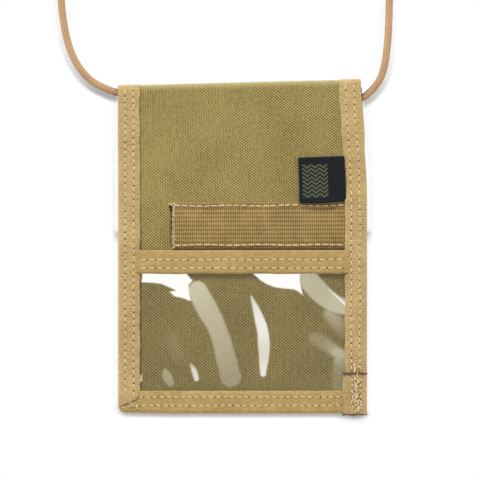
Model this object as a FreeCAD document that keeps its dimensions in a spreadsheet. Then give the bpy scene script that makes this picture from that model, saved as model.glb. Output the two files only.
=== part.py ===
import FreeCAD, Part
import math
import os
import Sketcher

# Neck pouch wallet on a cord, upright as it hangs from the neck, in millimetres.
# +X is the wearer's left seen from the front, the front faces -Y, +Z is up.
# The origin is the middle of the pouch's bottom edge; Y = 0 runs through the main compartment.

Vector = FreeCAD.Vector
doc = FreeCAD.newDocument("neck_pouch")


# ---------------------------------------------------------------- driving dimensions

sizes = {
    # whole pouch and the cloths it is sewn from
    "pouch_width": 139,
    "cloth": 0.7,
    "tape": 0.4,
    "film": 0.3,
    "tape_width": 12.5,
    "front_face": 2.2,
    "back_face": 2.2,
    "thread": 0.25,
    "stitch_width": 0.6,
    "outer_row": 4.2,
    "inner_row": 8.95,
    # fold at the top, with the flap lying outside it
    "fold_height": 182.4,
    "fold_centre": 1.4,
    "fold_radius": 3.6,
    "flap_gap": 0.1,
    "flap_bottom": 100,
    "flap_tape_top": 176,
    # back panel and its hook-and-loop strips
    "back_height": 150,
    "loop_bottom": 111,
    "loop_height": 25,
    "loop_width": 104,
    "hook_bottom": 113,
    "hook_height": 20,
    "hook_width": 100,
    "pile": 1.4,
    # window pocket and its tape
    "window_face": 4.1,
    "window_top": 90.8,
    "band_width": 13.2,
    # webbing sleeve and woven label
    "webbing_left": 38.6,
    "webbing_bottom": 91.3,
    "webbing_width": 26.9,
    "webbing_front": 3.6,
    "webbing_layer": 1.1,
    "webbing_hem": 5.7,
    "step_height": 118.6,
    "label_bottom": 118.8,
    "label_height": 23.8,
    "label_length": 24.6,
    "label_radius": 0.4,
    "label_hinge": 56.4,
    # short tape end wrapped round the lower right corner
    "wrap_left": 55.9,
    "wrap_height": 22.2,
    # cord and the sleeve it runs through
    "cord_radius": 2,
    "tunnel_height": 177,
    "tunnel_depth": 1.3,
    "sleeve_bore": 2.25,
    "sleeve_radius": 2.7,
    "sleeve_length": 113,
    "sleeve_tail": 17,
    # cord lock
    "lock_centre": 10,
    "lock_height": 396,
    "lock_depth": 0.85,
    "barrel_radius": 7.2,
    "barrel_length": 19,
    "barrel_floor": 1.4,
    "barrel_round": 1.6,
    "mouth_reach": 7,
    "bore_radius": 5.6,
    "slot_radius": 2.3,
    "slot_spacing": 4.3,
    "plunger_radius": 5.5,
    "plunger_length": 15.6,
    "plunger_reach": 11,
    "plunger_round": 1.2,
    "plunger_slot": 7.1,
    "plunger_slot_left": 2.05,
    "plunger_slot_width": 8.9,
    "spring_radius": 3.6,
    "spring_wire": 0.35,
    "spring_height": 5.1,
    "spring_pitch": 1.275,
}

sheet = doc.addObject("Spreadsheet::Sheet", "dim")
for row, (alias, value) in enumerate(sizes.items(), start=1):
    sheet.set(f"A{row}", alias)
    sheet.set(f"B{row}", str(value))
    sheet.setAlias(f"B{row}", alias)
doc.recompute()


# ---------------------------------------------------------------- building blocks

pieces = []


def piece(thing, name):
    """Names an object as one of the pouch's pieces."""
    thing.Label = name
    pieces.append(thing)
    return thing


def bind_base(thing, corner, path="Placement.Base."):
    """Ties an object's position to three expressions."""
    for axis, expression in zip("xyz", corner):
        thing.setExpression(path + axis, expression)


def block(corner, size):
    """A block from its lowest corner and its size, as expressions along X, Y and Z."""
    solid = doc.addObject("Part::Box", "block")
    for side, expression in zip(("Length", "Width", "Height"), size):
        solid.setExpression(side, expression)
    bind_base(solid, corner)
    return solid


def rod(centre, radius, length):
    """A cylinder lying along X, from the centre of its left end."""
    solid = doc.addObject("Part::Cylinder", "rod")
    solid.setExpression("Radius", radius)
    solid.setExpression("Height", length)
    solid.Placement.Rotation = FreeCAD.Rotation(Vector(0, 1, 0), 90)
    bind_base(solid, centre)
    return solid


def fuse(*solids):
    joined = doc.addObject("Part::MultiFuse", "joined")
    joined.Shapes = list(solids)
    joined.Refine = True
    return joined


def cut(base, tool):
    remainder = doc.addObject("Part::Cut", "remainder")
    remainder.Base = base
    remainder.Tool = tool
    return remainder


def group(*solids):
    together = doc.addObject("Part::Compound", "together")
    together.Links = list(solids)
    return together


def new_body(name):
    body = doc.addObject("PartDesign::Body", name)
    return piece(body, name)


def new_sketch(body, role, name, offset):
    """A sketch on one of the body's own origin planes, shifted by three expressions."""
    sketch = body.newObject("Sketcher::SketchObject", name)
    plane = next(item for item in body.Origin.OriginFeatures if item.Role == role)
    sketch.AttachmentSupport = [(plane, "")]
    sketch.MapMode = "FlatFace"
    bind_base(sketch, offset, "AttachmentOffset.Base.")
    return sketch


def driven(sketch, constraint, expression):
    """Adds a constraint whose value follows an expression."""
    index = sketch.addConstraint(constraint)
    sketch.setExpression(f"Constraints[{index}]", expression)


def circle_outline(sketch, radius):
    sketch.addGeometry(Part.Circle(Vector(), Vector(0, 0, 1), 3))
    sketch.addConstraint(Sketcher.Constraint("Coincident", 0, 3, -1, 1))
    driven(sketch, Sketcher.Constraint("Radius", 0, 3), radius)


def rectangle_outline(sketch, width, height):
    """A rectangle with its lower left corner on the sketch's own origin."""
    corners = [Vector(0, 0), Vector(5, 0), Vector(5, 4), Vector(0, 4)]
    for index, corner in enumerate(corners):
        sketch.addGeometry(Part.LineSegment(corner, corners[(index + 1) % 4]))
    for index in range(4):
        sketch.addConstraint(Sketcher.Constraint("Coincident", index, 2, (index + 1) % 4, 1))
    for index, direction in enumerate(("Horizontal", "Vertical") * 2):
        sketch.addConstraint(Sketcher.Constraint(direction, index))
    sketch.addConstraint(Sketcher.Constraint("Coincident", 0, 1, -1, 1))
    driven(sketch, Sketcher.Constraint("DistanceX", 0, 1, 0, 2, 5), width)
    driven(sketch, Sketcher.Constraint("DistanceY", 1, 1, 1, 2, 4), height)


def stadium_outline(sketch, spacing, radius):
    """Two half circles joined by straights; the right one is centred on the sketch's origin.

    spacing and radius are names of cells."""
    quarter = math.pi / 2
    across, run = sizes[radius], sizes[spacing]
    right = Part.Circle(Vector(0, 0), Vector(0, 0, 1), across)
    left = Part.Circle(Vector(-run, 0), Vector(0, 0, 1), across)
    sketch.addGeometry(Part.ArcOfCircle(right, -quarter, quarter))
    sketch.addGeometry(Part.LineSegment(Vector(0, across), Vector(-run, across)))
    sketch.addGeometry(Part.ArcOfCircle(left, quarter, 3 * quarter))
    sketch.addGeometry(Part.LineSegment(Vector(-run, -across), Vector(0, -across)))
    for index in range(4):
        sketch.addConstraint(Sketcher.Constraint("Tangent", index, 2, (index + 1) % 4, 1))
    sketch.addConstraint(Sketcher.Constraint("Horizontal", 1))
    sketch.addConstraint(Sketcher.Constraint("Coincident", 0, 3, -1, 1))
    driven(sketch, Sketcher.Constraint("Radius", 0, across), "dim." + radius)
    driven(sketch, Sketcher.Constraint("DistanceX", 2, 3, 0, 3, run), "dim." + spacing)


def pad(body, sketch, length, midplane=False):
    feature = body.newObject("PartDesign::Pad", "pad")
    feature.Profile = sketch
    feature.Midplane = midplane
    feature.setExpression("Length", length)
    doc.recompute()
    return feature


def pocket(body, sketch, depth):
    """Cuts away from the sketch against its normal and checks that something was removed."""
    volume_before = body.Shape.Volume
    feature = body.newObject("PartDesign::Pocket", "pocket")
    feature.Profile = sketch
    feature.setExpression("Length", depth)
    doc.recompute()
    if body.Shape.Volume >= volume_before:
        raise RuntimeError(body.Label + ": a pocket removed nothing")
    return feature


def round_end(body, pad_feature, radius, at_x):
    """Rounds the circular edge of a pad that lies in the plane X = at_x."""
    names = []
    for index, edge in enumerate(pad_feature.Shape.Edges, start=1):
        if abs(edge.BoundBox.XMax - at_x) < 0.01 and abs(edge.BoundBox.XMin - at_x) < 0.01:
            names.append(f"Edge{index}")
    feature = body.newObject("PartDesign::Fillet", "fillet")
    feature.Base = (pad_feature, names)
    feature.setExpression("Radius", radius)
    doc.recompute()
    return feature


# ---------------------------------------------------------------- cloth panels

inner_width = "dim.pouch_width - 2 * dim.tape"
inner_left = "dim.tape - dim.pouch_width / 2"


def front_panel():
    """Front cloth: straight up, then over the fold and down to where the flap takes over."""
    body = new_body("front_panel")
    sketch = new_sketch(body, "YZ_Plane", "front_outline", ("0", "0", "0"))
    face, centre, height = -sizes["front_face"], sizes["fold_centre"], sizes["fold_height"]
    cloth, foot, outer = sizes["cloth"], sizes["tape"], sizes["fold_radius"]
    inner = outer - cloth
    over = Part.Circle(Vector(centre, height), Vector(0, 0, 1), outer)
    under = Part.Circle(Vector(centre, height), Vector(0, 0, 1), inner)
    sketch.addGeometry(Part.LineSegment(Vector(face, height), Vector(face, foot)))
    sketch.addGeometry(Part.LineSegment(Vector(face, foot), Vector(face + cloth, foot)))
    sketch.addGeometry(Part.LineSegment(Vector(face + cloth, foot), Vector(face + cloth, height)))
    sketch.addGeometry(Part.ArcOfCircle(under, 0, math.pi))
    sketch.addGeometry(Part.LineSegment(Vector(centre + inner, height), Vector(centre + outer, height)))
    sketch.addGeometry(Part.ArcOfCircle(over, 0, math.pi))
    sketch.addConstraint(Sketcher.Constraint("Coincident", 0, 2, 1, 1))
    sketch.addConstraint(Sketcher.Constraint("Coincident", 1, 2, 2, 1))
    sketch.addConstraint(Sketcher.Constraint("Coincident", 2, 2, 3, 2))
    sketch.addConstraint(Sketcher.Constraint("Coincident", 3, 1, 4, 1))
    sketch.addConstraint(Sketcher.Constraint("Coincident", 4, 2, 5, 1))
    sketch.addConstraint(Sketcher.Constraint("Coincident", 5, 2, 0, 1))
    for index, direction in ((0, "Vertical"), (1, "Horizontal"), (2, "Vertical"), (4, "Horizontal")):
        sketch.addConstraint(Sketcher.Constraint(direction, index))
    sketch.addConstraint(Sketcher.Constraint("Coincident", 3, 3, 5, 3))
    sketch.addConstraint(Sketcher.Constraint("Horizontal", 5, 3, 5, 2))
    sketch.addConstraint(Sketcher.Constraint("Horizontal", 5, 3, 5, 1))
    sketch.addConstraint(Sketcher.Constraint("Horizontal", 3, 3, 3, 2))
    driven(sketch, Sketcher.Constraint("DistanceX", -1, 1, 5, 3, centre), "dim.fold_centre")
    driven(sketch, Sketcher.Constraint("DistanceY", -1, 1, 5, 3, height), "dim.fold_height")
    driven(sketch, Sketcher.Constraint("Radius", 5, outer), "dim.fold_radius")
    driven(sketch, Sketcher.Constraint("Radius", 3, inner), "dim.fold_radius - dim.cloth")
    driven(sketch, Sketcher.Constraint("DistanceY", -1, 1, 0, 2, foot), "dim.tape")
    pad(body, sketch, inner_width, midplane=True)


def back_panel():
    sheet_size = (inner_width, "dim.cloth", "dim.back_height - 2 * dim.tape")
    piece(block((inner_left, "dim.back_face - dim.cloth", "dim.tape"), sheet_size), "back_panel")


def window_film():
    corner = (inner_left, "dim.tape - dim.window_face", "dim.tape")
    sheet_size = (inner_width, "dim.film", "dim.window_top - 2 * dim.tape")
    piece(block(corner, sheet_size), "window_film")


flap_inside = "(dim.fold_centre + dim.fold_radius + dim.flap_gap)"


def flap_panel():
    corner = (inner_left, flap_inside, "dim.flap_bottom + dim.tape")
    sheet_size = (inner_width, "dim.cloth", "dim.fold_height - dim.flap_bottom - dim.tape")
    piece(block(corner, sheet_size), "flap_panel")


# ---------------------------------------------------------------- edge tapes

left_edge = "(-dim.pouch_width / 2)"
tape_edge = "(dim.pouch_width / 2 - dim.tape_width)"
between_tapes = f"(2 * {tape_edge})"
tape_back = "(dim.back_face + dim.tape)"
tape_front = "(dim.front_face + dim.tape)"
window_depth = "(dim.window_face + dim.back_face + dim.tape)"
window_hollow = "(dim.window_face + dim.back_face - dim.tape)"


def side_tape_outside(left, width):
    """Outer form of a side tape: thick over the window, thinner above it, and above the back
    panel round the front cloth only, so that the cord can leave between front and flap."""
    above_step = "dim.back_height - dim.step_height"
    above_back = "dim.fold_height - dim.back_height"
    face = "-" + tape_front
    return [
        block((left, "-dim.window_face", "0"), (width, window_depth, "dim.step_height")),
        block((left, face, "dim.step_height"), (width, f"{tape_front} + {tape_back}", above_step)),
        block((left, face, "dim.back_height"), (width, "dim.cloth + 2 * dim.tape", above_back)),
    ]


def side_tape_hollow(left, width):
    """What a side tape is folded round; everything keeps one tape's thickness from outside."""
    above_back = "dim.fold_height - dim.back_height"
    over_window = (left, "dim.tape - dim.window_face", "dim.tape")
    over_cloth = (left, "-dim.front_face", "dim.tape")
    over_fold = (left, "-dim.front_face", "dim.back_height")
    return [
        block(over_window, (width, window_hollow, "dim.step_height - 2 * dim.tape")),
        block(over_cloth, (width, "dim.front_face + dim.back_face", "dim.back_height - dim.tape")),
        block(over_fold, (width, "dim.cloth", above_back)),
    ]


def left_bottom_binding():
    """One length of tape down the left side and along the bottom."""
    hollow_left = f"{left_edge} + dim.tape"
    hollow_width = f"{between_tapes} + dim.tape_width - dim.tape"
    foot_start = (f"-{tape_edge}", "-dim.window_face", "0")
    foot = block(foot_start, (between_tapes, window_depth, "dim.tape_width"))
    foot_corner = (hollow_left, "dim.tape - dim.window_face", "dim.tape")
    foot_hollow = block(foot_corner, (hollow_width, window_hollow, "dim.tape_width"))
    outside = fuse(*side_tape_outside(left_edge, "dim.tape_width"), foot)
    hollow = fuse(*side_tape_hollow(hollow_left, "dim.tape_width"), foot_hollow)
    piece(cut(outside, hollow), "left_bottom_binding")


def right_binding():
    outside = fuse(*side_tape_outside(tape_edge, "dim.tape_width"))
    hollow_left = f"{tape_edge} - dim.tape"
    open_end = (hollow_left, "dim.tape - dim.window_face", "0")
    floor = block(open_end, ("dim.tape_width", window_hollow, "dim.tape"))
    hollow = fuse(*side_tape_hollow(hollow_left, "dim.tape_width"), floor)
    piece(cut(outside, hollow), "right_binding")


def corner_end_wrap():
    """Short end of the tape, folded round the lower right corner over the side binding."""
    width = "dim.pouch_width / 2 + dim.tape - dim.wrap_left"
    outer_corner = ("dim.wrap_left", "-dim.window_face - dim.tape", "0")
    inner_corner = ("dim.wrap_left - dim.tape", "-dim.window_face", "0")
    outside = block(outer_corner, (width, f"{window_depth} + 2 * dim.tape", "dim.wrap_height"))
    piece(cut(outside, block(inner_corner, (width, window_depth, "dim.wrap_height"))), "corner_end_wrap")


def folded_tape(name, face, depth, top, height):
    """Tape folded down over a horizontal edge, from binding to binding, open at the bottom."""
    bottom = f"{top} - {height}"
    outside = block((f"-{tape_edge}", face, bottom), (between_tapes, depth, height))
    slot = block(
        (f"-{tape_edge}", f"{face} + dim.tape", bottom),
        (between_tapes, f"{depth} - 2 * dim.tape", f"{height} - dim.tape"),
    )
    piece(cut(outside, slot), name)


def window_top_binding():
    depth = "(dim.film + 2 * dim.tape)"
    folded_tape("window_top_binding", "-dim.window_face", depth, "dim.window_top", "dim.band_width")


def back_panel_binding():
    face = "(dim.back_face - dim.cloth - dim.tape)"
    depth = "(dim.cloth + 2 * dim.tape)"
    folded_tape("back_panel_binding", face, depth, "dim.back_height", "dim.tape_width")


def flap_binding():
    """Tape round the sides and the bottom of the flap."""
    face = f"{flap_inside} - dim.tape"
    depth = "(dim.cloth + 2 * dim.tape)"
    height = "dim.flap_tape_top - dim.flap_bottom"
    outside = block((left_edge, face, "dim.flap_bottom"), ("dim.pouch_width", depth, height))
    slot_corner = (inner_left, flap_inside, "dim.flap_bottom + dim.tape")
    slot = block(slot_corner, (inner_width, "dim.cloth", height))
    middle = (f"-{tape_edge}", face, "dim.flap_bottom + dim.tape_width")
    window = block(middle, (between_tapes, depth, height))
    piece(cut(outside, fuse(slot, window)), "flap_binding")


# ---------------------------------------------------------------- webbing, label, hook and loop


def webbing_sleeve():
    """Flat webbing sewn on along its top and bottom hems; between them it stands off the cloth."""
    length = "dim.webbing_left + dim.pouch_width / 2 - dim.tape"
    depth = "dim.webbing_front - dim.front_face"
    corner = ("-dim.webbing_left", "-dim.webbing_front", "dim.webbing_bottom")
    webbing = block(corner, (length, depth, "dim.webbing_width"))
    slot_face = "dim.webbing_layer - dim.webbing_front"
    slot = block(
        ("-dim.webbing_left", slot_face, "dim.webbing_bottom + dim.webbing_hem"),
        (length, f"{depth} - dim.webbing_layer", "dim.webbing_width - 2 * dim.webbing_hem"),
    )
    piece(cut(webbing, slot), "webbing_sleeve")


def woven_label():
    """Folded label held in the right-hand seam; its rounded right end is centred on its hinge line."""
    body = new_body("woven_label")
    middle = "-dim.front_face - dim.label_radius"
    sketch = new_sketch(body, "XY_Plane", "label_outline", ("dim.label_hinge", middle, "dim.label_bottom"))
    stadium_outline(sketch, "label_length", "label_radius")
    pad(body, sketch, "dim.label_height")


def strip(name, face, bottom, width, height):
    piece(block((f"-{width} / 2", face, bottom), (width, "dim.pile", height)), name)


def hook_and_loop():
    strip("loop_strip", "dim.back_face", "dim.loop_bottom", "dim.loop_width", "dim.loop_height")
    strip("hook_strip", f"{flap_inside} - dim.pile", "dim.hook_bottom", "dim.hook_width", "dim.hook_height")


# ---------------------------------------------------------------- stitching

# every row is one thin bar of thread lying on the face it is sewn to


def row_up(centre, face, bottom, top):
    corner = (f"{centre} - dim.stitch_width / 2", face, bottom)
    return block(corner, ("dim.stitch_width", "dim.thread", f"{top} - ({bottom})"))


def row_across(left, face, height, right):
    corner = (left, face, f"{height} - dim.stitch_width / 2")
    return block(corner, (f"{right} - ({left})", "dim.thread", "dim.stitch_width"))


rows_from_edge = ("dim.outer_row", "dim.inner_row")
above_tape = "-dim.window_face - dim.thread"
above_wrap = "dim.wrap_height + 2 * dim.tape"


def edge_stitching():
    above_cloth = f"-{tape_front} - dim.thread"
    foot_left = f"{left_edge} + dim.outer_row"
    rows = []
    for inset in rows_from_edge:
        left = f"{left_edge} + {inset}"
        right = f"dim.pouch_width / 2 - {inset}"
        rows.append(row_up(left, above_tape, "dim.tape_width", "dim.step_height"))
        rows.append(row_up(right, above_tape, above_wrap, "dim.step_height"))
        rows.append(row_up(left, above_cloth, "dim.step_height", "dim.fold_height"))
        rows.append(row_up(right, above_cloth, "dim.step_height", "dim.fold_height"))
        rows.append(row_across(foot_left, above_tape, inset, "dim.wrap_left - dim.tape"))
    piece(group(*rows), "edge_stitching")


def window_stitching():
    first = "dim.window_top - dim.band_width + dim.band_width / 4"
    second = "dim.window_top - dim.band_width + 3 * dim.band_width / 5"
    rows = [row_across(f"-{tape_edge}", above_tape, height, tape_edge) for height in (first, second)]
    piece(group(*rows), "window_stitching")


def webbing_stitching():
    inset = "dim.webbing_hem / 2"
    face = "-dim.webbing_front - dim.thread"
    low = f"dim.webbing_bottom + {inset}"
    high = f"dim.webbing_bottom + dim.webbing_width - {inset}"
    rows = [row_across("1 - dim.webbing_left", face, height, f"{tape_edge} - 1") for height in (low, high)]
    piece(group(*rows), "webbing_stitching")


def bartack_stitching():
    """Heavy tacking that holds the wrapped tape end."""
    face = "-dim.window_face - dim.tape - dim.thread"
    width = "(dim.pouch_width / 2 - dim.wrap_left)"
    rows = [
        row_up(f"dim.wrap_left + {width} * {share}", face, "1", "dim.wrap_height - 1")
        for share in (0.3, 0.5, 0.7)
    ]
    piece(group(*rows), "bartack_stitching")


def back_stitching():
    rows = []
    for inset in rows_from_edge:
        height = f"dim.back_height - {inset}"
        rows.append(row_up(f"{left_edge} + {inset}", tape_back, "dim.tape_width", "dim.back_height - 1"))
        rows.append(row_up(f"dim.pouch_width / 2 - {inset}", tape_back, above_wrap, "dim.back_height - 1"))
        rows.append(row_across(f"-{tape_edge}", tape_back, height, tape_edge))
    piece(group(*rows), "back_stitching")


def flap_stitching():
    """The rows show on the inside of the flap's tape."""
    face = f"{flap_inside} - dim.tape - dim.thread"
    low, high = "dim.flap_bottom + dim.tape_width", "dim.flap_tape_top - 1"
    rows = []
    for inset in rows_from_edge:
        rows.append(row_up(f"{left_edge} + {inset}", face, low, high))
        rows.append(row_up(f"dim.pouch_width / 2 - {inset}", face, low, high))
        rows.append(row_across(f"-{tape_edge}", face, f"dim.flap_bottom + {inset}", tape_edge))
    piece(group(*rows), "flap_stitching")


# ---------------------------------------------------------------- cord and its sleeve


def cord_sleeve():
    """Cloth tube for the cord inside the fold, with the tail that is sewn to the front cloth."""
    left = "-dim.sleeve_length / 2"
    centre = (left, "dim.tunnel_depth", "dim.tunnel_height")
    tube = rod(centre, "dim.sleeve_radius", "dim.sleeve_length")
    wall = "dim.sleeve_radius - dim.sleeve_bore"
    tail_corner = (left, "dim.tunnel_depth - dim.sleeve_radius", "dim.tunnel_height - dim.sleeve_tail")
    tail = block(tail_corner, ("dim.sleeve_length", wall, "dim.sleeve_tail"))
    bore = rod(centre, "dim.sleeve_bore", "dim.sleeve_length")
    piece(cut(fuse(tube, tail), bore), "cord_sleeve")


class Path:
    """A smooth line in space, grown by straights and round turns."""

    def __init__(self, start, heading):
        self.end = start
        self.heading = heading
        self.edges = []

    def straight(self, length):
        start = self.end
        self.end = start + self.heading * length
        self.edges.append(Part.makeLine(start, self.end))

    def turn(self, towards, radius, degrees):
        """Turns towards a direction at right angles to the heading."""
        start, heading = self.end, self.heading

        def at(angle):
            return start + heading * (radius * math.sin(angle)) + towards * (radius * (1 - math.cos(angle)))

        angle = math.radians(degrees)
        self.edges.append(Part.Arc(start, at(angle / 2), at(angle)).toShape())
        self.end = at(angle)
        self.heading = heading * math.cos(angle) + towards * math.sin(angle)


def close_in(path, target):
    """From a rising cord: leans over towards the point above which both strands run, then up again."""
    lean, first_radius, second_radius = 80, 35, 12
    angle = math.radians(lean)
    sideways = Vector(target.x - path.end.x, target.y - path.end.y, 0)
    run = sideways.Length - (first_radius + second_radius) * (1 - math.cos(angle))
    sideways.normalize()
    path.turn(sideways, first_radius, lean)
    path.straight(run / math.sin(angle))
    path.turn(Vector(0, 0, 1) * math.sin(angle) - sideways * math.cos(angle), second_radius, lean)


def strand(side, target, knot_height):
    """Half of the neck cord, from the middle of the sleeve to the knot."""
    depth, height = sheet.tunnel_depth, sheet.tunnel_height
    path = Path(Vector(0, depth, height), Vector(side, 0, 0))
    up = Vector(0, 0, 1)
    level_run, split_height = 70, 331
    tight_bend, round_bend, wide_bend = 11.5, 20, 102
    path.straight(level_run)
    if side > 0:
        path.turn(up, tight_bend, 90)
    else:
        path.turn(up, round_bend, 60)
        path.turn(up * 0.5 + Vector(math.sqrt(0.75), 0, 0), wide_bend, 30)
    path.straight(split_height - path.end.z)
    close_in(path, target)
    path.straight(knot_height - path.end.z)
    return path


def neck_cord():
    """Round braided cord: one loop through the sleeve, both ends knotted together above the lock."""
    radius, spacing = sheet.cord_radius, sheet.slot_spacing
    knot_height, knot_radius, free_end = 437, 6.5, 15
    centre = Vector(-sheet.lock_centre, -sheet.lock_depth, knot_height)
    solids = []
    for side in (1, -1):
        target = centre - Vector(0, side * spacing / 2, 0)
        path = strand(side, target, knot_height + free_end)
        wire = Part.Wire(path.edges)
        profile = Part.Wire(Part.makeCircle(radius, wire.Vertexes[0].Point, Vector(side, 0, 0)))
        solids.append(wire.makePipeShell([profile], True, False))
    knot = Part.makeSphere(knot_radius, centre)
    cord = doc.addObject("Part::Feature", "neck_cord")
    cord.Shape = solids[0].fuse([solids[1], knot]).removeSplitter()
    piece(cord, "neck_cord")


# ---------------------------------------------------------------- cord lock

lock_axis = ("-dim.lock_depth", "dim.lock_height")
barrel_end = "(dim.mouth_reach - dim.lock_centre - dim.barrel_length)"


def lock_body():
    """Barrel lying along X, bored from its right end, with a cross slot for both strands."""
    body = new_body("lock_body")
    outline = new_sketch(body, "YZ_Plane", "barrel_outline", (*lock_axis, barrel_end))
    circle_outline(outline, "dim.barrel_radius")
    barrel = pad(body, outline, "dim.barrel_length")
    round_end(body, barrel, "dim.barrel_round", sheet.mouth_reach - sheet.lock_centre - sheet.barrel_length)
    mouth = new_sketch(body, "YZ_Plane", "bore_outline", (*lock_axis, "dim.mouth_reach - dim.lock_centre"))
    circle_outline(mouth, "dim.bore_radius")
    pocket(body, mouth, "dim.barrel_length - dim.barrel_floor")
    first_strand = "dim.slot_spacing / 2 - dim.lock_depth"
    slot_corner = ("-dim.lock_centre", first_strand, "dim.lock_height + dim.barrel_radius")
    slot = new_sketch(body, "XY_Plane", "slot_outline", slot_corner)
    quarter_turn = FreeCAD.Rotation(Vector(0, 0, 1), 90)
    slot.AttachmentOffset = FreeCAD.Placement(slot.AttachmentOffset.Base, quarter_turn)
    stadium_outline(slot, "slot_spacing", "slot_radius")
    pocket(body, slot, "2 * dim.barrel_radius")


def lock_plunger():
    """Sliding button with a slot long enough to be pressed home past the strands."""
    body = new_body("lock_plunger")
    inner_end = "dim.plunger_reach - dim.lock_centre - dim.plunger_length"
    outline = new_sketch(body, "YZ_Plane", "plunger_outline", (*lock_axis, inner_end))
    circle_outline(outline, "dim.plunger_radius")
    stem = pad(body, outline, "dim.plunger_length")
    round_end(body, stem, "dim.plunger_round", sheet.plunger_reach - sheet.lock_centre)
    slot_corner = (
        "-dim.lock_centre - dim.plunger_slot_left",
        "-dim.lock_depth - dim.plunger_slot_width / 2",
        "dim.lock_height + dim.barrel_radius",
    )
    slot = new_sketch(body, "XY_Plane", "plunger_slot", slot_corner)
    rectangle_outline(slot, "dim.plunger_slot", "dim.plunger_slot_width")
    pocket(body, slot, "2 * dim.barrel_radius")


def lock_spring():
    """Coil spring between the barrel's floor and the plunger, as a smooth curve through its turns."""
    clearance, points_per_turn = 0.1, 16
    turns = sheet.spring_height / sheet.spring_pitch
    coil_points = []
    for index in range(round(turns * points_per_turn) + 1):
        turned = index / points_per_turn
        angle = 2 * math.pi * turned
        across = Vector(math.cos(angle), math.sin(angle), 0) * sheet.spring_radius
        coil_points.append(across + Vector(0, 0, turned * sheet.spring_pitch))
    coil = Part.BSplineCurve()
    coil.interpolate(coil_points)
    wire_end = Part.Wire(Part.makeCircle(sheet.spring_wire, coil_points[0], Vector(0, 1, 0)))
    spring = doc.addObject("Part::Feature", "lock_spring")
    spring.Shape = Part.Wire([coil.toShape()]).makePipeShell([wire_end], True, True)
    floor = sheet.mouth_reach - sheet.lock_centre - sheet.barrel_length + sheet.barrel_floor
    start = Vector(floor + sheet.spring_wire + clearance, -sheet.lock_depth, sheet.lock_height)
    spring.Placement = FreeCAD.Placement(start, FreeCAD.Rotation(Vector(0, 1, 0), 90))
    piece(spring, "lock_spring")


# ---------------------------------------------------------------- build, check and write

front_panel()
back_panel()
window_film()
flap_panel()
left_bottom_binding()
right_binding()
corner_end_wrap()
window_top_binding()
back_panel_binding()
flap_binding()
webbing_sleeve()
woven_label()
hook_and_loop()
edge_stitching()
window_stitching()
webbing_stitching()
bartack_stitching()
back_stitching()
flap_stitching()
cord_sleeve()
neck_cord()
lock_body()
lock_plunger()
lock_spring()
doc.recompute()

for item in doc.Objects:
    if "Invalid" in item.State or "Error" in item.State:
        raise RuntimeError(f"{item.Label} failed: {item.State}")
for item in pieces:
    if item.Shape.isNull() or not item.Shape.isValid():
        raise RuntimeError(item.Label + " has no valid shape")

os.makedirs("parts", exist_ok=True)
for item in pieces:
    item.Shape.exportStep(f"parts/{item.Label}.step")
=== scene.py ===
import math
import random

import bpy
import numpy as np
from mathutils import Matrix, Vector

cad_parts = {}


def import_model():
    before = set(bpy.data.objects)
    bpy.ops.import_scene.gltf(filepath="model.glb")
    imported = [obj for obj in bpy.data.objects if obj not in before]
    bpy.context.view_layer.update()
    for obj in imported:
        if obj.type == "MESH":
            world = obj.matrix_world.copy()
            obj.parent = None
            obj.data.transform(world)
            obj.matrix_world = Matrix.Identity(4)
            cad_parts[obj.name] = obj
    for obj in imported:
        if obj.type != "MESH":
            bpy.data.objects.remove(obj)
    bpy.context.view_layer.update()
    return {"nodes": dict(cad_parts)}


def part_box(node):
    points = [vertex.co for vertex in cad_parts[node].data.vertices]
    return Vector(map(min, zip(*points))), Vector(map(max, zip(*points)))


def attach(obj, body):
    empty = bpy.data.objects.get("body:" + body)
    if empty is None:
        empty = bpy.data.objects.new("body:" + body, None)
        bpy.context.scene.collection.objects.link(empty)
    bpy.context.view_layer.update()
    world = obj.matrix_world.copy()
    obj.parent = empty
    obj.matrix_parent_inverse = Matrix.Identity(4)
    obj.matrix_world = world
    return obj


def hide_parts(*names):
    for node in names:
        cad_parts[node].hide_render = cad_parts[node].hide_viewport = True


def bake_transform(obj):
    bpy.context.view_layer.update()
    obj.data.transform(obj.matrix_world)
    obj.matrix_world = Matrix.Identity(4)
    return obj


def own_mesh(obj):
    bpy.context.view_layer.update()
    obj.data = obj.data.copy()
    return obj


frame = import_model()
MM = 0.001
random.seed(7)


def corners(node):
    """Lowest and highest corner of a CAD node, in millimetres."""
    low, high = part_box(node)
    return np.array(low) / MM, np.array(high) / MM


def step(value, start, end):
    """0 before start, 1 after end, smooth between them."""
    share = np.clip((np.asarray(value, float) - start) / (end - start), 0, 1)
    return share * share * (3 - 2 * share)


def mix(a, b, share):
    return a + (b - a) * share


def distances(*coordinates):
    """Distance run along a line up to each of its points, from one array per coordinate."""
    steps = np.sqrt(sum(np.diff(values) ** 2 for values in coordinates))
    return np.concatenate([[0], np.cumsum(steps)])


# ---------------------------------------------------------------- places taken from the frame

cloth_low, cloth_high = corners("front_panel")
flap_low, flap_high = corners("flap_panel")
back_low, back_high = corners("back_panel")
film_low, film_high = corners("window_film")
band_low, band_high = corners("window_top_binding")
right_low, right_high = corners("right_binding")
left_low = corners("left_bottom_binding")[0]
wrap_low, wrap_high = corners("corner_end_wrap")
web_low, web_high = corners("webbing_sleeve")
label_low, label_high = corners("woven_label")
loop_low, loop_high = corners("loop_strip")
hook_low, hook_high = corners("hook_strip")
flap_tape_low = corners("flap_binding")[0]
sleeve_low, sleeve_high = corners("cord_sleeve")
cord_low, cord_high = corners("neck_cord")
lock_low, lock_high = corners("lock_body")

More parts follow.
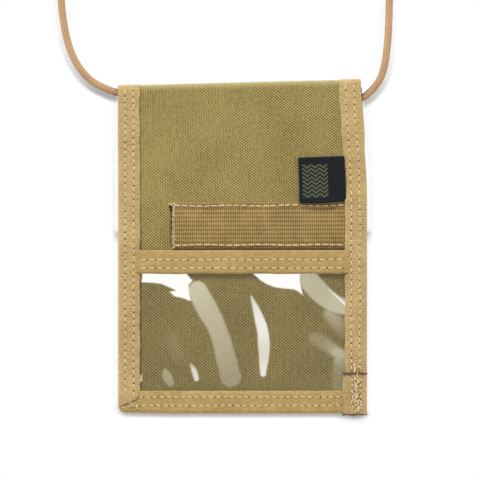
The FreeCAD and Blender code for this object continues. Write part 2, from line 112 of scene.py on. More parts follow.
EDGE = right_high[0]                    # half the pouch's width
INNER = right_low[0]                    # where the side tapes end on the face
TAPE = EDGE - INNER                     # width of the tape that shows
CLOTH = back_high[1] - back_low[1]      # thickness of the cloth
TAPE_THICK = wrap_high[0] - right_high[0]
FACE = cloth_low[1] + CLOTH / 2         # middle of the front cloth
FLAP_FACE = (flap_low[1] + flap_high[1]) / 2
BACK_FACE = (back_low[1] + back_high[1]) / 2
FOLD = right_high[2]                    # height where the fold begins
TOP = cloth_high[2]
BACK_TOP = corners("back_panel_binding")[1][2]
CORD_RADIUS = 2.0
TUNNEL_Y = (sleeve_high[1] + sleeve_low[1]) / 2
TUNNEL_Z = cord_low[2] + CORD_RADIUS    # middle of the cord inside its sleeve
LOCK_X = (lock_low[0] + lock_high[0]) / 2 + 2.5
LOCK_Y = (lock_low[1] + lock_high[1]) / 2
LOCK_Z = (lock_low[2] + lock_high[2]) / 2
STRAND_GAP = 4.3                        # between the middles of the two strands in the lock
ACROSS_FOLD = None                      # stands for a body where a piece reaches over the fold
CORNER = 4.4                            # radius of the lower left corner


def lie(points):
    """The pouch doesn't hang quite square: its top left corner sits low and the right side leans in."""
    points = np.array(points, float)
    x, z = points[..., 0], points[..., 2]
    across = (x + EDGE) / (2 * EDGE)
    height = np.clip(z / TOP, 0, 1.1)
    drop = 3.4 * np.clip(1 - across, 0, 2) ** 1.15 * height**4
    lean = 3.5 * across * step(z, 118, 188)
    points[..., 2] = z - drop
    points[..., 0] = x - lean
    return points


# ---------------------------------------------------------------- mesh building


def settle(obj, slot, body, *nodes):
    """Joins a piece to its body and hides the CAD nodes it stands for; slot, the name of its finish, is not
    used.
    """
    if body is ACROSS_FOLD:
        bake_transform(obj)
    else:
        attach(obj, body)
    if nodes:
        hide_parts(*nodes)


def mesh_object(name, verts, faces, uvs=None, materials=(), face_materials=None):
    """A smooth mesh from points in millimetres; uvs has one pair in millimetres per point."""
    mesh = bpy.data.meshes.new(name)
    mesh.from_pydata((np.asarray(verts, float) * MM).tolist(), [], [tuple(f) for f in faces])
    if uvs is not None:
        layer = mesh.uv_layers.new(name="weave")
        index = np.empty(len(mesh.loops), int)
        mesh.loops.foreach_get("vertex_index", index)
        layer.data.foreach_set("uv", np.asarray(uvs, float)[index].ravel())
    for material in materials:
        mesh.materials.append(material)
    if face_materials is not None:
        mesh.polygons.foreach_set("material_index", face_materials)
    mesh.polygons.foreach_set("use_smooth", [True] * len(mesh.polygons))
    mesh.update()
    obj = bpy.data.objects.new(name, mesh)
    bpy.context.scene.collection.objects.link(obj)
    return obj


def grid_faces(rows, columns, ring=False):
    """Quads of a grid of points; with ring the last column joins the first."""
    faces = []
    last = columns if ring else columns - 1
    for i in range(rows - 1):
        for j in range(last):
            k = (j + 1) % columns
            this, following = i * columns, (i + 1) * columns
            faces.append((this + j, this + k, following + k, following + j))
    return faces


def tube_faces(rows, columns):
    """Faces of a tube made of rings, with both ends closed."""
    faces = grid_faces(rows, columns, ring=True)
    faces.append(tuple(range(columns))[::-1])
    faces.append(tuple(range((rows - 1) * columns, rows * columns)))
    return faces


def sheet(name, points, uvs, material, thickness=0.0, offset=0.0):
    """A grid of points as a sheet of cloth with real thickness."""
    points = np.asarray(points, float)
    rows, columns = points.shape[:2]
    flat_uvs = np.asarray(uvs, float).reshape(-1, 2)
    obj = mesh_object(name, points.reshape(-1, 3), grid_faces(rows, columns), flat_uvs, [material])
    if thickness:
        solid = obj.modifiers.new("thickness", "SOLIDIFY")
        solid.thickness = thickness * MM
        solid.offset = offset
        solid.use_even_offset = False
        apply_modifiers(obj)
    return obj


def panel(name, place, material, thickness=0.0, offset=0.0, run=None):
    """A grid of cloth at (x, y, z); run is its distances across and along, where not x and z."""
    weave = np.dstack(run or (place[0], place[2]))
    return sheet(name, lie(np.dstack(place)), weave, material, thickness, offset)


class Sweep:
    """Collects the sections of a folded or rolled piece; a number may stand for a whole array."""

    def __init__(self):
        self.points = []
        self.uvs = []

    def add(self, x, y, z, u, v):
        self.points.append(np.stack(np.broadcast_arrays(x, y, z), axis=-1))
        self.uvs.append(np.stack(np.broadcast_arrays(u, v), axis=-1))

    def cloth(self, name, material, thickness, offset):
        return sheet(name, lie(self.points), self.uvs, material, thickness, offset)


def apply_modifiers(obj):
    """Replaces the mesh by the result of its modifiers."""
    graph = bpy.context.evaluated_depsgraph_get()
    graph.update()
    result = obj.evaluated_get(graph)
    obj_mesh = bpy.data.meshes.new_from_object(result, preserve_all_data_layers=True, depsgraph=graph)
    obj.modifiers.clear()
    obj.data = obj_mesh


def grid(u_values, v_values):
    """Two arrays of the same shape, rows following v and columns following u."""
    return np.meshgrid(np.asarray(u_values, float), np.asarray(v_values, float))


def spaced(start, end, pitch):
    return np.linspace(start, end, max(2, int(abs(end - start) / pitch) + 1))


def wave(x, z, length, seed):
    """Soft irregular swells, about -1 to 1, for cloth that isn't quite flat."""
    turn = np.array([0.3, 1.2, 2.1, 2.9]) + seed
    total = 0
    for index, angle in enumerate(turn):
        along = (x * math.cos(angle) + z * math.sin(angle)) / (length * (1 + 0.37 * index))
        total = total + np.sin(2 * math.pi * along + 1.7 * seed * (index + 1))
    return total / len(turn)


def share_out(t, start, end, first, second):
    """first at start and second at end, in even parts between them."""
    return (end - t) / (end - start) * first + (t - start) / (end - start) * second


def smooth_line(points, pitch):
    """A smooth curve through a few points, resampled at an even pitch."""
    points = np.array(points, float)
    padded = np.vstack([2 * points[0] - points[1], points, 2 * points[-1] - points[-2]])
    fine = []
    for a, b, c, d in zip(padded, padded[1:], padded[2:], padded[3:]):
        knots = np.cumsum([0] + [np.linalg.norm(q - p) ** 0.5 for p, q in ((a, b), (b, c), (c, d))])
        t = np.linspace(knots[1], knots[2], 40, endpoint=False)[:, None]
        ab = share_out(t, knots[0], knots[1], a, b)
        bc = share_out(t, knots[1], knots[2], b, c)
        cd = share_out(t, knots[2], knots[3], c, d)
        abc = share_out(t, knots[0], knots[2], ab, bc)
        bcd = share_out(t, knots[1], knots[3], bc, cd)
        fine.append(share_out(t, knots[1], knots[2], abc, bcd))
    fine = np.vstack(fine + [points[-1:]])
    run = distances(*fine.T)
    even = spaced(0, run[-1], pitch)
    return np.column_stack([np.interp(even, run, fine[:, axis]) for axis in range(points.shape[1])])


# ---------------------------------------------------------------- the line the front cloth follows


def cloth_line():
    """From the bottom up the front, over the fold and down the flap.

    Returns the middle of the cloth as (y, z), its outward normal as (y, z), and the distance
    run, one row per station."""
    bottom = cloth_low[2] + 0.2
    up = spaced(bottom, FOLD, 1.6)
    radius = (FLAP_FACE - FACE) / 2
    centre = (FLAP_FACE + FACE) / 2
    rise = TOP - CLOTH / 2 - FOLD
    angles = np.linspace(math.pi, 0, 17)[1:-1]
    down = spaced(FOLD, flap_low[2] + 0.2, 1.6)
    over = centre + radius * np.cos(angles)
    y = np.concatenate([np.full(len(up), FACE), over, np.full(len(down), FLAP_FACE)])
    z = np.concatenate([up, FOLD + rise * np.sin(angles), down])
    normal_y = np.concatenate([np.full(len(up), -1.0), np.cos(angles), np.ones(len(down))])
    normal_z = np.concatenate([np.zeros(len(up)), np.sin(angles), np.zeros(len(down))])
    run = distances(y, z)
    return y, z, normal_y, normal_z, run


LINE = cloth_line()
FOLD_RUN = float(LINE[4][np.argmax(LINE[1])])      # distance along it at the top of the fold


# ---------------------------------------------------------------- node arithmetic for materials


def linear(red, green, blue):
    """A colour given as 0 to 255 display values, as linear light."""
    values = [channel / 255 for channel in (red, green, blue)]
    return tuple(c / 12.92 if c <= 0.04045 else ((c + 0.055) / 1.055) ** 2.4 for c in values) + (1.0,)


class Field:
    """A number inside a material's nodes; ordinary arithmetic on it adds Math nodes."""

    def __init__(self, tree, socket):
        self.tree = tree
        self.socket = socket

    def math(self, operation, *others):
        node = self.tree.nodes.new("ShaderNodeMath")
        node.operation = operation
        for index, value in enumerate((self, *others)):
            if isinstance(value, Field):
                self.tree.links.new(value.socket, node.inputs[index])
            else:
                node.inputs[index].default_value = value
        return Field(self.tree, node.outputs[0])

    def __add__(self, other):
        return self.math("ADD", other)

    def __sub__(self, other):
        return self.math("SUBTRACT", other)

    def __mul__(self, other):
        return self.math("MULTIPLY", other)

    def sin(self):
        return self.math("SINE")

    def size(self):
        return self.math("ABSOLUTE")

    def power(self, exponent):
        return self.math("POWER", exponent)

    def limit(self):
        """Kept between 0 and 1."""
        return self.math("MINIMUM", 1.0).math("MAXIMUM", 0.0)

    def rest(self):
        """What is missing to 1."""
        return self * -1 + 1

    def ridges(self, pitch):
        """0 to 1 and back, once every pitch."""
        return (self * (2 * math.pi / pitch)).sin() * 0.5 + 0.5

    def swing(self, amount):
        """Noise made to lie evenly about zero."""
        return (self - 0.5) * amount


class Shader:
    """A new material with the few things every finish here needs."""

    def __init__(self, name):
        self.material = bpy.data.materials.new(name)
        self.material.use_nodes = True
        self.tree = self.material.node_tree
        self.surface = self.tree.nodes["Principled BSDF"]
        self.output = self.tree.nodes["Material Output"]

    def node(self, kind, **settings):
        node = self.tree.nodes.new(kind)
        for key, value in settings.items():
            setattr(node, key, value)
        return node

    def link(self, source, target):
        self.tree.links.new(source.socket if isinstance(source, Field) else source, target)

    def field(self, node, output):
        return Field(self.tree, node.outputs[output])

    def part(self, source, *axes):
        """Coordinates of a vector socket."""
        split = self.node("ShaderNodeSeparateXYZ")
        self.link(source, split.inputs[0])
        return [self.field(split, axis) for axis in axes]

    def run(self):
        """Distance across and along the cloth, in millimetres."""
        return self.part(self.node("ShaderNodeUVMap", uv_map="weave").outputs["UV"], "X", "Y")

    def noise(self, size_mm, detail=2.0, stretch=(1, 1, 1)):
        """Noise about 0.5 whose features are size_mm big in space."""
        place = self.node("ShaderNodeTexCoord")
        scale = self.node("ShaderNodeMapping")
        for index in range(3):
            scale.inputs["Scale"].default_value[index] = stretch[index] / (size_mm * MM)
        noise = self.node("ShaderNodeTexNoise")
        noise.inputs["Scale"].default_value = 1.0
        noise.inputs["Detail"].default_value = detail
        self.link(place.outputs["Object"], scale.inputs["Vector"])
        self.link(scale.outputs[0], noise.inputs["Vector"])
        return self.field(noise, "Fac")

    def covered(self, reach_mm, samples, towards=None):
        """How much of the surroundings within reach is hidden, 0 to 1."""
        node = self.node("ShaderNodeAmbientOcclusion", samples=samples)
        node.inputs["Distance"].default_value = reach_mm * MM
        if towards:
            direction = self.node("ShaderNodeCombineXYZ")
            for index, value in enumerate(towards):
                direction.inputs[index].default_value = value
            self.link(direction.outputs[0], node.inputs["Normal"])
        return self.field(node, "AO").rest()

    def facing(self, blend, output):
        node = self.node("ShaderNodeLayerWeight")
        node.inputs["Blend"].default_value = blend
        return self.field(node, output)

    def blend(self, share, first, second):
        """Colour between two colours or colour sockets."""
        node = self.node("ShaderNodeMix", data_type="RGBA")
        self.link(share.limit(), node.inputs["Factor"])
        for value, name in ((first, "A"), (second, "B")):
            target = next(i for i in node.inputs if i.name == name and i.type == "RGBA")
            if isinstance(value, tuple):
                target.default_value = value
            else:
                self.link(value, target)
        return next(o for o in node.outputs if o.type == "RGBA")

    def either(self, share, first, second):
        """Surface between two surfaces."""
        node = self.node("ShaderNodeMixShader")
        for value, target in zip((share, first, second), node.inputs):
            self.link(value, target)
        return node.outputs[0]

    def bump(self, height, depth_mm, target):
        node = self.node("ShaderNodeBump")
        node.inputs["Distance"].default_value = depth_mm * MM
        node.inputs["Strength"].default_value = 1.0
        self.link(height, node.inputs["Height"])
        self.link(node.outputs[0], target.inputs["Normal"])

    def painted_sheen(self, colour, pale, amount):
        """Painted sheen: the colour turns pale where the surface turns away from the eye, as stray fibres
        catching the light would make it.
        """
        return self.blend(self.facing(0.5, "Facing").power(2.5) * amount, colour, pale)

    def finish(self, colour, roughness, height=None, depth_mm=0.1, sheen=0.0):
        """Sets colour and roughness, and bump from a height field of 0 to 1."""
        self.link(colour, self.surface.inputs["Base Color"])
        if isinstance(roughness, Field):
            self.link(roughness, self.surface.inputs["Roughness"])
        else:
            self.surface.inputs["Roughness"].default_value = roughness
        self.surface.inputs["Sheen Weight"].default_value = sheen
        self.surface.inputs["Sheen Roughness"].default_value = 0.5
        if height is not None:
            self.bump(height, depth_mm, self.surface)
        return self.material


# ---------------------------------------------------------------- materials

WEAVE_ACROSS = 1.95                 # millimetres between the cloth's diagonals, measured across and up
WEAVE_UP = 1.64
BRAID_TURNS = 6                     # strands each way round the cord
BRAID_PITCH = 5.2
WEB_MIDDLE = (web_low[2] + web_high[2]) / 2
WEB_HALF = (web_high[2] - web_low[2]) / 2


def plain_weave(u, v, side_share, calm):
    """Height of a plain weave, about 0 to 1; side_share is how far the rising diagonals show."""
    across = u * (2 * math.pi / WEAVE_ACROSS)
    up = v * (2 * math.pi / WEAVE_UP)
    falling = (across + up).sin()
    rising = (across - up * 1.09).sin()
    columns = (across * 1.47).sin()
    return falling * (calm * -0.17 + 0.3) + rising * side_share + columns * 0.1 + 0.5


def cordura_material():
    """Coarse olive-khaki nylon in plain weave, slubby, with a painted highlight along its fold, painted
    shade beside the left tape and the webbing's mouth, and a painted pale sheen towards its rims.
    """
    shader = Shader("cordura")
    u, v = shader.run()
    slub = shader.noise(2.2, 3.0)
    patches = shader.noise(34, 3.0)
    upper = ((v - 120) * (1 / 50)).limit()
    right = ((u + 50) * (1 / 90)).limit()
    rising = patches * 0.15 + upper * right * 0.13
    weave = plain_weave(u + slub * 0.35, v + slub * 0.3, rising, upper * right.rest())
    fibres = shader.noise(0.5, 3.0)
    tone = weave * 1.2 + fibres.swing(0.6) + slub.swing(0.5) + patches.swing(0.5) - 0.11
    colour = shader.blend(tone, linear(84, 68, 10), linear(191, 171, 102))
    # painted highlight: paler along the top of the fold, where the light from above falls on it
    fold_highlight = ((v - FOLD_RUN).size() * (-1 / 6.5) + 1).limit().power(1.5)
    highlighted = shader.blend(fold_highlight * 0.5, colour, linear(232, 218, 168))
    # painted shade: darker beside the left tape's inner edge and left of the webbing's mouth
    beside_tape = ((u + INNER) * (-1 / 0.9) + 1).limit()
    before_webbing = ((u - web_low[0] + 0.4).size() * (-1 / 2.4) + 1).limit()
    level = (((v - WEB_MIDDLE).size() * -1 + (WEB_HALF - 1)) * 0.5).limit()
    shade = beside_tape * 0.6 + before_webbing * level * 0.6
    shaded = shader.blend(shade, highlighted, linear(64, 52, 18))
    # painted sheen: paler where the cloth turns away from the eye
    soft = shader.painted_sheen(shaded, linear(236, 224, 180), 0.5)
    return shader.finish(soft, 0.88, weave * 0.9 + fibres * 0.4, 0.3, 0.15)


def tape_material(name="binding_tape", light=(215, 186, 127), dark=(145, 116, 62)):
    """Tan grosgrain: fine ribs across the tape, uneven yarns."""
    shader = Shader(name)
    u, v = shader.run()
    ribs = v.ridges(0.85)
    yarns = u.ridges(0.55)
    fibres = shader.noise(0.7, 3.0)
    patches = shader.noise(11, 3.0)
    slub = shader.noise(1.5, 2.0, (0.5, 1, 2))
    uneven = fibres.swing(1.1) + patches.swing(0.6) + slub.swing(0.9)
    colour = shader.blend(ribs * 0.16 + yarns * 0.08 + uneven + 0.4, linear(*dark), linear(*light))
    # painted sheen: paler where the tape turns away from the eye
    soft = shader.painted_sheen(colour, linear(244, 232, 200), 0.7)
    return shader.finish(soft, 0.8, ribs * 0.4 + fibres * 0.5 + slub * 0.9, 0.17, 0.2)


def webbing_material():
    """Brown nylon webbing: a grid of cords along it and weft bars across them, frayed at its left end."""
    shader = Shader("webbing")
    u, v = shader.run()
    slub = shader.noise(1.6, 2.0)
    columns = (u + slub * 0.3).ridges(1.19)
    bars = (v + slub * 0.5).ridges(2.34)
    fibres = shader.noise(0.6, 3.0)
    patches = shader.noise(9, 2.0)
    tone = columns * 0.54 + bars * 0.34 + fibres.swing(0.75) + patches.swing(0.5) + 0.03
    colour = shader.blend(tone, linear(90, 60, 10), linear(193, 162, 94))
    selvage = ((v - WEB_MIDDLE).size() - (WEB_HALF - 1.0)) * 1.6
    dyed = shader.blend(selvage.limit() * 0.6, colour, linear(140, 98, 52))
    frayed = ((u - web_low[0] + slub * 1.2 - 0.6) * (-1 / 1.3) + 0.9).limit()
    edged = shader.blend(frayed * 0.45, dyed, linear(214, 192, 142))
    return shader.finish(edged, 0.72, columns * 0.6 + bars * 0.4, 0.26, 0.1)


def thread_material():
    """Light tan twisted thread."""
    shader = Shader("thread")
    u, v = shader.run()
    twist = (u * 2.0 + v * 6.0).ridges(2)
    patches = shader.noise(6, 2.0)
    tone = twist * 0.4 + patches * 0.6
    colour = shader.blend(tone, linear(196, 165, 112), linear(243, 222, 176))
    return shader.finish(colour, 0.55, twist, 0.04, 0.2)


def speckled_material(name, size, detail, dark, light, roughness, depth):
    """One colour with darker specks, for holes, shade and melted edges."""
    shader = Shader(name)
    speck = shader.noise(size, detail)
    return shader.finish(shader.blend(speck, linear(*dark), linear(*light)), roughness, speck, depth)


def cord_material():
    """Braided cord: two sets of strands crossing round it, darker in valleys, with painted shade where other
    surfaces hem it in.
    """
    shader = Shader("cord")
    around, along = shader.run()
    along = along * (2 / BRAID_PITCH)
    left = ((around * BRAID_TURNS + along) * (2 * math.pi)).sin()
    right = ((around * BRAID_TURNS - along) * (2 * math.pi)).sin()
    braid = (left * right) * 0.5 + 0.5
    fibres = shader.noise(0.5, 2.0)
    patches = shader.noise(14, 2.0)
    tone = braid * 0.75 + fibres.swing(0.5) + patches.swing(0.4) + 0.1
    colour = shader.blend(tone, linear(131, 86, 42), linear(229, 189, 138))
    # painted shade near other surfaces, left off the faces turned to the back
    shade = (shader.covered(15, 6) - 0.08) * 2.0
    (rearward,) = shader.part(shader.node("ShaderNodeNewGeometry").outputs["Normal"], "Y")
    not_rear = (rearward * -3 + 1).limit()
    shaded = shader.blend(shade.limit() * not_rear, colour, linear(92, 58, 30))
    return shader.finish(shaded, 0.7, braid, 0.12, 0.3)


def label_material():
    """Black damask label with a plain block of olive herringbone."""
    shader = Shader("label_cloth")
    u, v = shader.run()
    rows = v.ridges(0.6)
    fibres = shader.noise(0.6, 2.0)
    fold = (u * (1 / 4.6)).math("FRACT") - 0.5
    stripes = (v + fold.size() * 4.0).ridges(2.3).swing(6) + 0.5
    inside_u = ((u - 8.9).size() * -1 + 7.2) * 6
    inside_v = ((v - 12.1).size() * -1 + 9.2) * 6
    block = inside_u.limit() * inside_v.limit() * stripes.limit()
    ground = shader.blend(rows * 0.5 + fibres * 0.5, linear(14, 16, 20), linear(36, 38, 42))
    colour = shader.blend(block * 0.92, ground, linear(92, 98, 76))
    shader.surface.inputs["Specular IOR Level"].default_value = 0.15
    return shader.finish(colour, 0.8, rows * 0.4 + block * 0.6, 0.08)


def film_material():
    """Clear soft vinyl: dims what lies behind it, with a faint painted glow and painted reflections of the
    lights that show only from the front.
    """
    shader = Shader("clear_film")
    clear = shader.node("ShaderNodeBsdfTransparent")
    veil = shader.blend(shader.noise(21, 2.0), (0.64, 0.64, 0.65, 1), (0.80, 0.80, 0.80, 1))
    shader.link(veil, clear.inputs["Color"])
    # painted glow: a faint emission over the whole film
    painted_glow = shader.node("ShaderNodeEmission")
    painted_glow.inputs["Strength"].default_value = 0.012
    dimmed = shader.node("ShaderNodeAddShader")
    shader.link(clear.outputs[0], dimmed.inputs[0])
    shader.link(painted_glow.outputs[0], dimmed.inputs[1])
    gloss = shader.node("ShaderNodeBsdfGlossy")
    gloss.inputs["Roughness"].default_value = 0.12
    shader.bump(shader.noise(16, 2.0), 0.9, gloss)
    coat = shader.either(shader.facing(0.25, "Fresnel") * 0.7, dimmed.outputs[0], gloss.outputs[0])
    # painted reflections: emission where the stored mask says, only when seen nearly straight on
    painted_reflection_mask = shader.field(shader.node("ShaderNodeAttribute", attribute_name="painted_glare"), "Fac")
    painted_reflection_emission = shader.node("ShaderNodeEmission")
    colour = shader.blend(painted_reflection_mask * 2.2 - 0.8, (1.0, 0.95, 0.74, 1), (1.0, 0.99, 0.96, 1))
    shader.link(colour, painted_reflection_emission.inputs["Color"])
    (away,) = shader.part(shader.node("ShaderNodeNewGeometry").outputs["Incoming"], "Y")
    painted_glare = painted_reflection_mask * (away * -1).limit().power(9)
    lit = shader.either(painted_glare.limit(), coat, painted_reflection_emission.outputs[0])
    camera_ray = shader.field(shader.node("ShaderNodeLightPath"), "Is Camera Ray")
    free = shader.node("ShaderNodeBsdfTransparent")
    shader.link(shader.either(camera_ray, free.outputs[0], lit), shader.output.inputs["Surface"])
    return shader.material


def pile_material(name, dark, light, size):
    """Hook or loop pile: a dense nap of tiny specks."""
    shader = Shader(name)
    nap = shader.noise(size, 3.0)
    patches = shader.noise(12, 2.0)
    colour = shader.blend(nap * 0.8 + patches * 0.3 - 0.05, linear(*dark), linear(*light))
    return shader.finish(colour, 0.95, nap, 0.5, 0.3)


def plastic_material(name, tone):
    """Moulded plastic with a fine spark-eroded grain and slightly shiny worn spots."""
    shader = Shader(name)
    grain = shader.noise(0.35, 2.0)
    wear = shader.noise(7, 3.0)
    colour = shader.blend(wear, linear(tone, tone, tone), linear(tone + 16, tone + 15, tone + 13))
    return shader.finish(colour, wear * 0.25 + 0.38, grain, 0.03)


def steel_material():
    """Drawn spring wire with fine streaks."""
    shader = Shader("spring_steel")
    streaks = shader.noise(0.6, 2.0, (1, 6, 6))
    colour = shader.blend(streaks, linear(150, 150, 150), linear(205, 205, 202))
    shader.surface.inputs["Metallic"].default_value = 1.0
    return shader.finish(colour, streaks * 0.2 + 0.25, streaks, 0.02)


CORDURA = cordura_material()
TAPE_CLOTH = tape_material()
TAPE_ACROSS = tape_material("binding_tape_across", (204, 173, 110), (147, 116, 54))
WEBBING = webbing_material()
THREAD = thread_material()
HOLE = speckled_material("needle_hole", 0.8, 2.0, (52, 36, 16), (104, 76, 40), 0.95, 0.05)
# melted edges, and painted shade for the fold slit and the tuck line
SCORCH_AND_SHADE = speckled_material("scorched_edge_and_shade", 1.3, 3.0, (64, 40, 26), (134, 100, 70), 0.5, 0.1)
DARK = speckled_material("shaded_cloth", 0.9, 2.0, (44, 30, 10), (84, 62, 26), 0.95, 0.05)
CORD = cord_material()
LABEL = label_material()
FILM = film_material()
LOOP = pile_material("loop_pile", (112, 98, 58), (178, 160, 108), 0.9)
HOOK = pile_material("hook_tape", (96, 84, 50), (150, 134, 88), 0.6)
LOCK = plastic_material("lock_plastic", 34)
BUTTON = plastic_material("button_plastic", 46)
STEEL = steel_material()


# ---------------------------------------------------------------- front cloth


def front_and_flap():
    """The one cloth that is front, fold and flap; it swells a little between its seams."""
    y, z, normal_y, normal_z, run = LINE
    u, v = grid(spaced(cloth_low[0] + 0.3, cloth_high[0] - 0.3, 1.6), run)
    height = np.interp(v, run, z)
    swell = 0.28 * wave(u, v, 66, 0.4) * (1 - (np.abs(u) / EDGE) ** 4)
    near_fold = step(v, FOLD - 12, FOLD) * step(FOLD + 24 - v, 0, 12)
    swell = swell * (0.3 + 0.7 * step(height, 96, 130)) * (1 - near_fold)
    depth = np.interp(v, run, y) + np.interp(v, run, normal_y) * swell
    level = height + np.interp(v, run, normal_z) * swell
    corner_x, corner_z = inside_corner(u, level, 0.8)
    on_front = v < FOLD_RUN / 2
    place = (np.where(on_front, corner_x, u), depth, np.where(on_front, corner_z, level))
    obj = panel("front_cloth_and_flap", place, CORDURA, CLOTH, 0, (u, v))
    settle(obj, "cordura", ACROSS_FOLD, "front_panel", "flap_panel")


# ---------------------------------------------------------------- edge tapes

WRAP_WIDTH = wrap_high[0] - wrap_low[0] - 0.5
ROW_NEAR, ROW_FAR = 3.55, 8.3           # where the tape's two seams draw it in, from its inner edge
FLAP_AHEAD, FLAP_BEHIND = 0.82, 0.78    # the tape's faces from the middle of the flap


def inside_corner(x, z, inset=0.0):
    """Draws points at the lower left corner in to its round outline."""
    out_x, out_z = x + EDGE - CORNER, z - CORNER
    reach = np.hypot(out_x, out_z)
    beyond = (out_x < 0) & (out_z < 0) & (reach > CORNER - inset)
    pull = np.where(beyond, (CORNER - inset) / np.maximum(reach, 1e-6), 1.0)
    return CORNER - EDGE + out_x * pull, CORNER + out_z * pull


def side_level(side, z):
    """How far the tape's outer face stands in front of the middle of the front cloth."""
    thin = step(z, 93, 112) if side < 0 else step(z, 117, 128)
    return mix(2.45, 0.88, thin)


def side_depth(z):
    """How far the tape's back face lies behind the middle of the front cloth."""
    return mix(BACK_FACE - FACE + 0.85, 0.82, step(z, BACK_TOP - 4, BACK_TOP + 2))


def tape_profile(width, bulge, ahead, behind):
    """Section of a folded tape: across the face, round the rim, back across the rear.

    Returns distances from the inner edge and offsets from the middle of the cloth."""
    flat = width - bulge
    across = np.array([0, 0.5, 1.3, 2.6, 4.2, 6.0, 8.0, 9.6]) / 11.0 * flat
    crown = 1 - 0.34 * (1 - np.clip(across / (0.3 * flat), 0, 1)) ** 2
    row = np.exp(-(((across - ROW_NEAR) / 0.7) ** 2)) + np.exp(-(((across - ROW_FAR) / 0.7) ** 2))
    turn = np.linspace(math.pi / 2, -math.pi / 2, 9)
    reach = np.concatenate([across, flat + bulge * np.cos(turn), across[::-1]])
    middle, half = (ahead - behind) / 2, (ahead + behind) / 2
    face = ahead * (crown - 0.05 * row)
    offset = np.concatenate([face, middle + half * np.sin(turn), -behind * crown[::-1]])
    return reach, offset


def side_tape(name, side, cut, *nodes):
    """Tape round one side, from its lower end over the fold to the end of the flap.

    cut gives the height of its lower end at a distance from the tape's inner edge."""
    y, z, normal_y, normal_z, run = LINE
    tape = Sweep()
    for index, along in enumerate(run):
        on_front = normal_y[index] < -0.999
        ahead = side_level(side, z[index]) if on_front else FLAP_AHEAD
        behind = side_depth(z[index]) if on_front else FLAP_BEHIND
        reach, offset = tape_profile(TAPE, min(1.7, (ahead + behind) / 2), ahead, behind)
        height = z[index]
        if on_front and height < 30:
            end = cut(reach)
            height = mix(end, np.maximum(height, end), height / 30)
        ragged = 0.16 * math.sin(0.31 * along + side) + 0.1 * math.sin(0.83 * along)
        past_fold = along - FOLD_RUN
        spread = 0.8 * step(past_fold, 4, 10) * (1 - step(past_fold, 30, 46)) if side > 0 else 0.0
        x = side * (INNER + reach + ragged * (1 - reach / TAPE) + spread * (not on_front))
        if side < 0 and on_front:
            x, height = inside_corner(x, height, 0.1)
        out_y, out_z = normal_y[index] * offset, normal_z[index] * offset
        tape.add(x, y[index] + out_y, height + out_z, distances(reach, offset), along)
    settle(tape.cloth(name, TAPE_CLOTH, TAPE_THICK, -side), "binding_tape", ACROSS_FOLD, *nodes)


def bottom_tape():
    """Tape along the bottom, turning the lower left corner under the side tape."""
    inner = np.array([-INNER, left_low[2] + TAPE])
    outer = [(-EDGE, height) for height in spaced(inner[1] + 3, CORNER, 2.0)]
    for angle in np.linspace(math.pi, 1.5 * math.pi, 9)[1:-1]:
        outer.append((-EDGE + CORNER + CORNER * math.cos(angle), CORNER + CORNER * math.sin(angle)))
    for x in spaced(-EDGE + CORNER, INNER + 4, 2.0):
        outer.append((x, -0.45 * float(step(x, -EDGE + 4, -EDGE + 30))))
    outer = np.array(outer)
    tape = Sweep()
    for edge, run in zip(outer, distances(*outer.T)):
        nearest = np.maximum(edge, inner)
        span = np.linalg.norm(edge - nearest)
        reach, offset = tape_profile(span, 1.7, 2.2, BACK_FACE - FACE + 0.8)
        x, z = nearest[:, None] + np.outer((edge - nearest) / span, reach)
        tape.add(x, FACE - offset, z, distances(reach, offset), run)
    obj = tape.cloth("bottom_tape", TAPE_ACROSS, TAPE_THICK, -1)
    settle(obj, "binding_tape", "pouch", "left_bottom_binding")


def left_cut(reach):
    """The left tape ends on a diagonal tuck that bends up to its inner edge."""
    share = 1 - np.clip(reach / 11.0, 0, 1)
    return 4.0 + 4.9 * share**1.2 + 1.4 * np.exp(-reach / 0.8)


def right_cut(reach):
    """The right tape runs down under the wrapped end."""
    return np.full_like(reach, 0.3)


def end_wrap():
    """Short end of tape folded round the lower right corner."""
    tape = Sweep()
    for z in spaced(wrap_low[2] - 1.0, wrap_high[2], 1.2):
        end_lift = 0.25 * np.exp(-(wrap_high[2] - z) / 1.5)
        reach, offset = tape_profile(WRAP_WIDTH, 2.0, 2.85 + end_lift, BACK_FACE - FACE + 1.25)
        sway = 0.25 * math.sin(z * 0.33)
        x = wrap_low[0] + reach + sway * (1 - reach / WRAP_WIDTH)
        tape.add(x, FACE - offset, z, z, distances(reach, offset))
    obj = tape.cloth("corner_wrap", TAPE_CLOTH, TAPE_THICK, -1)
    settle(obj, "binding_tape", "pouch", "corner_end_wrap")


def wrap_edge_melt():
    """The brown melted lines where the wrapped end was cut."""
    reach, offset = tape_profile(WRAP_WIDTH, 2.0, 3.05, BACK_FACE - FACE + 1.3)
    beads = 0.2 * np.sin(reach * 1.3 + 0.6) + 0.16 * np.sin(reach * 3.1)
    top, bottom = wrap_high[2] - 0.1, wrap_low[2] - 0.75
    for name, height, drop in (("melted_edge_top", top, 1.3), ("melted_edge_bottom", bottom, 0.7)):
        line = Sweep()
        for z in np.linspace(height - drop * 0.5, height + drop * 0.5, 5):
            ragged = 0.14 * np.sin(reach * 0.9) + beads * np.sign(z - height)
            line.add(wrap_low[0] + reach - 0.1, FACE - offset - 0.03, z + ragged, reach, z)
        settle(line.cloth(name, SCORCH_AND_SHADE, 0.35, 1), "binding_tape", "pouch")


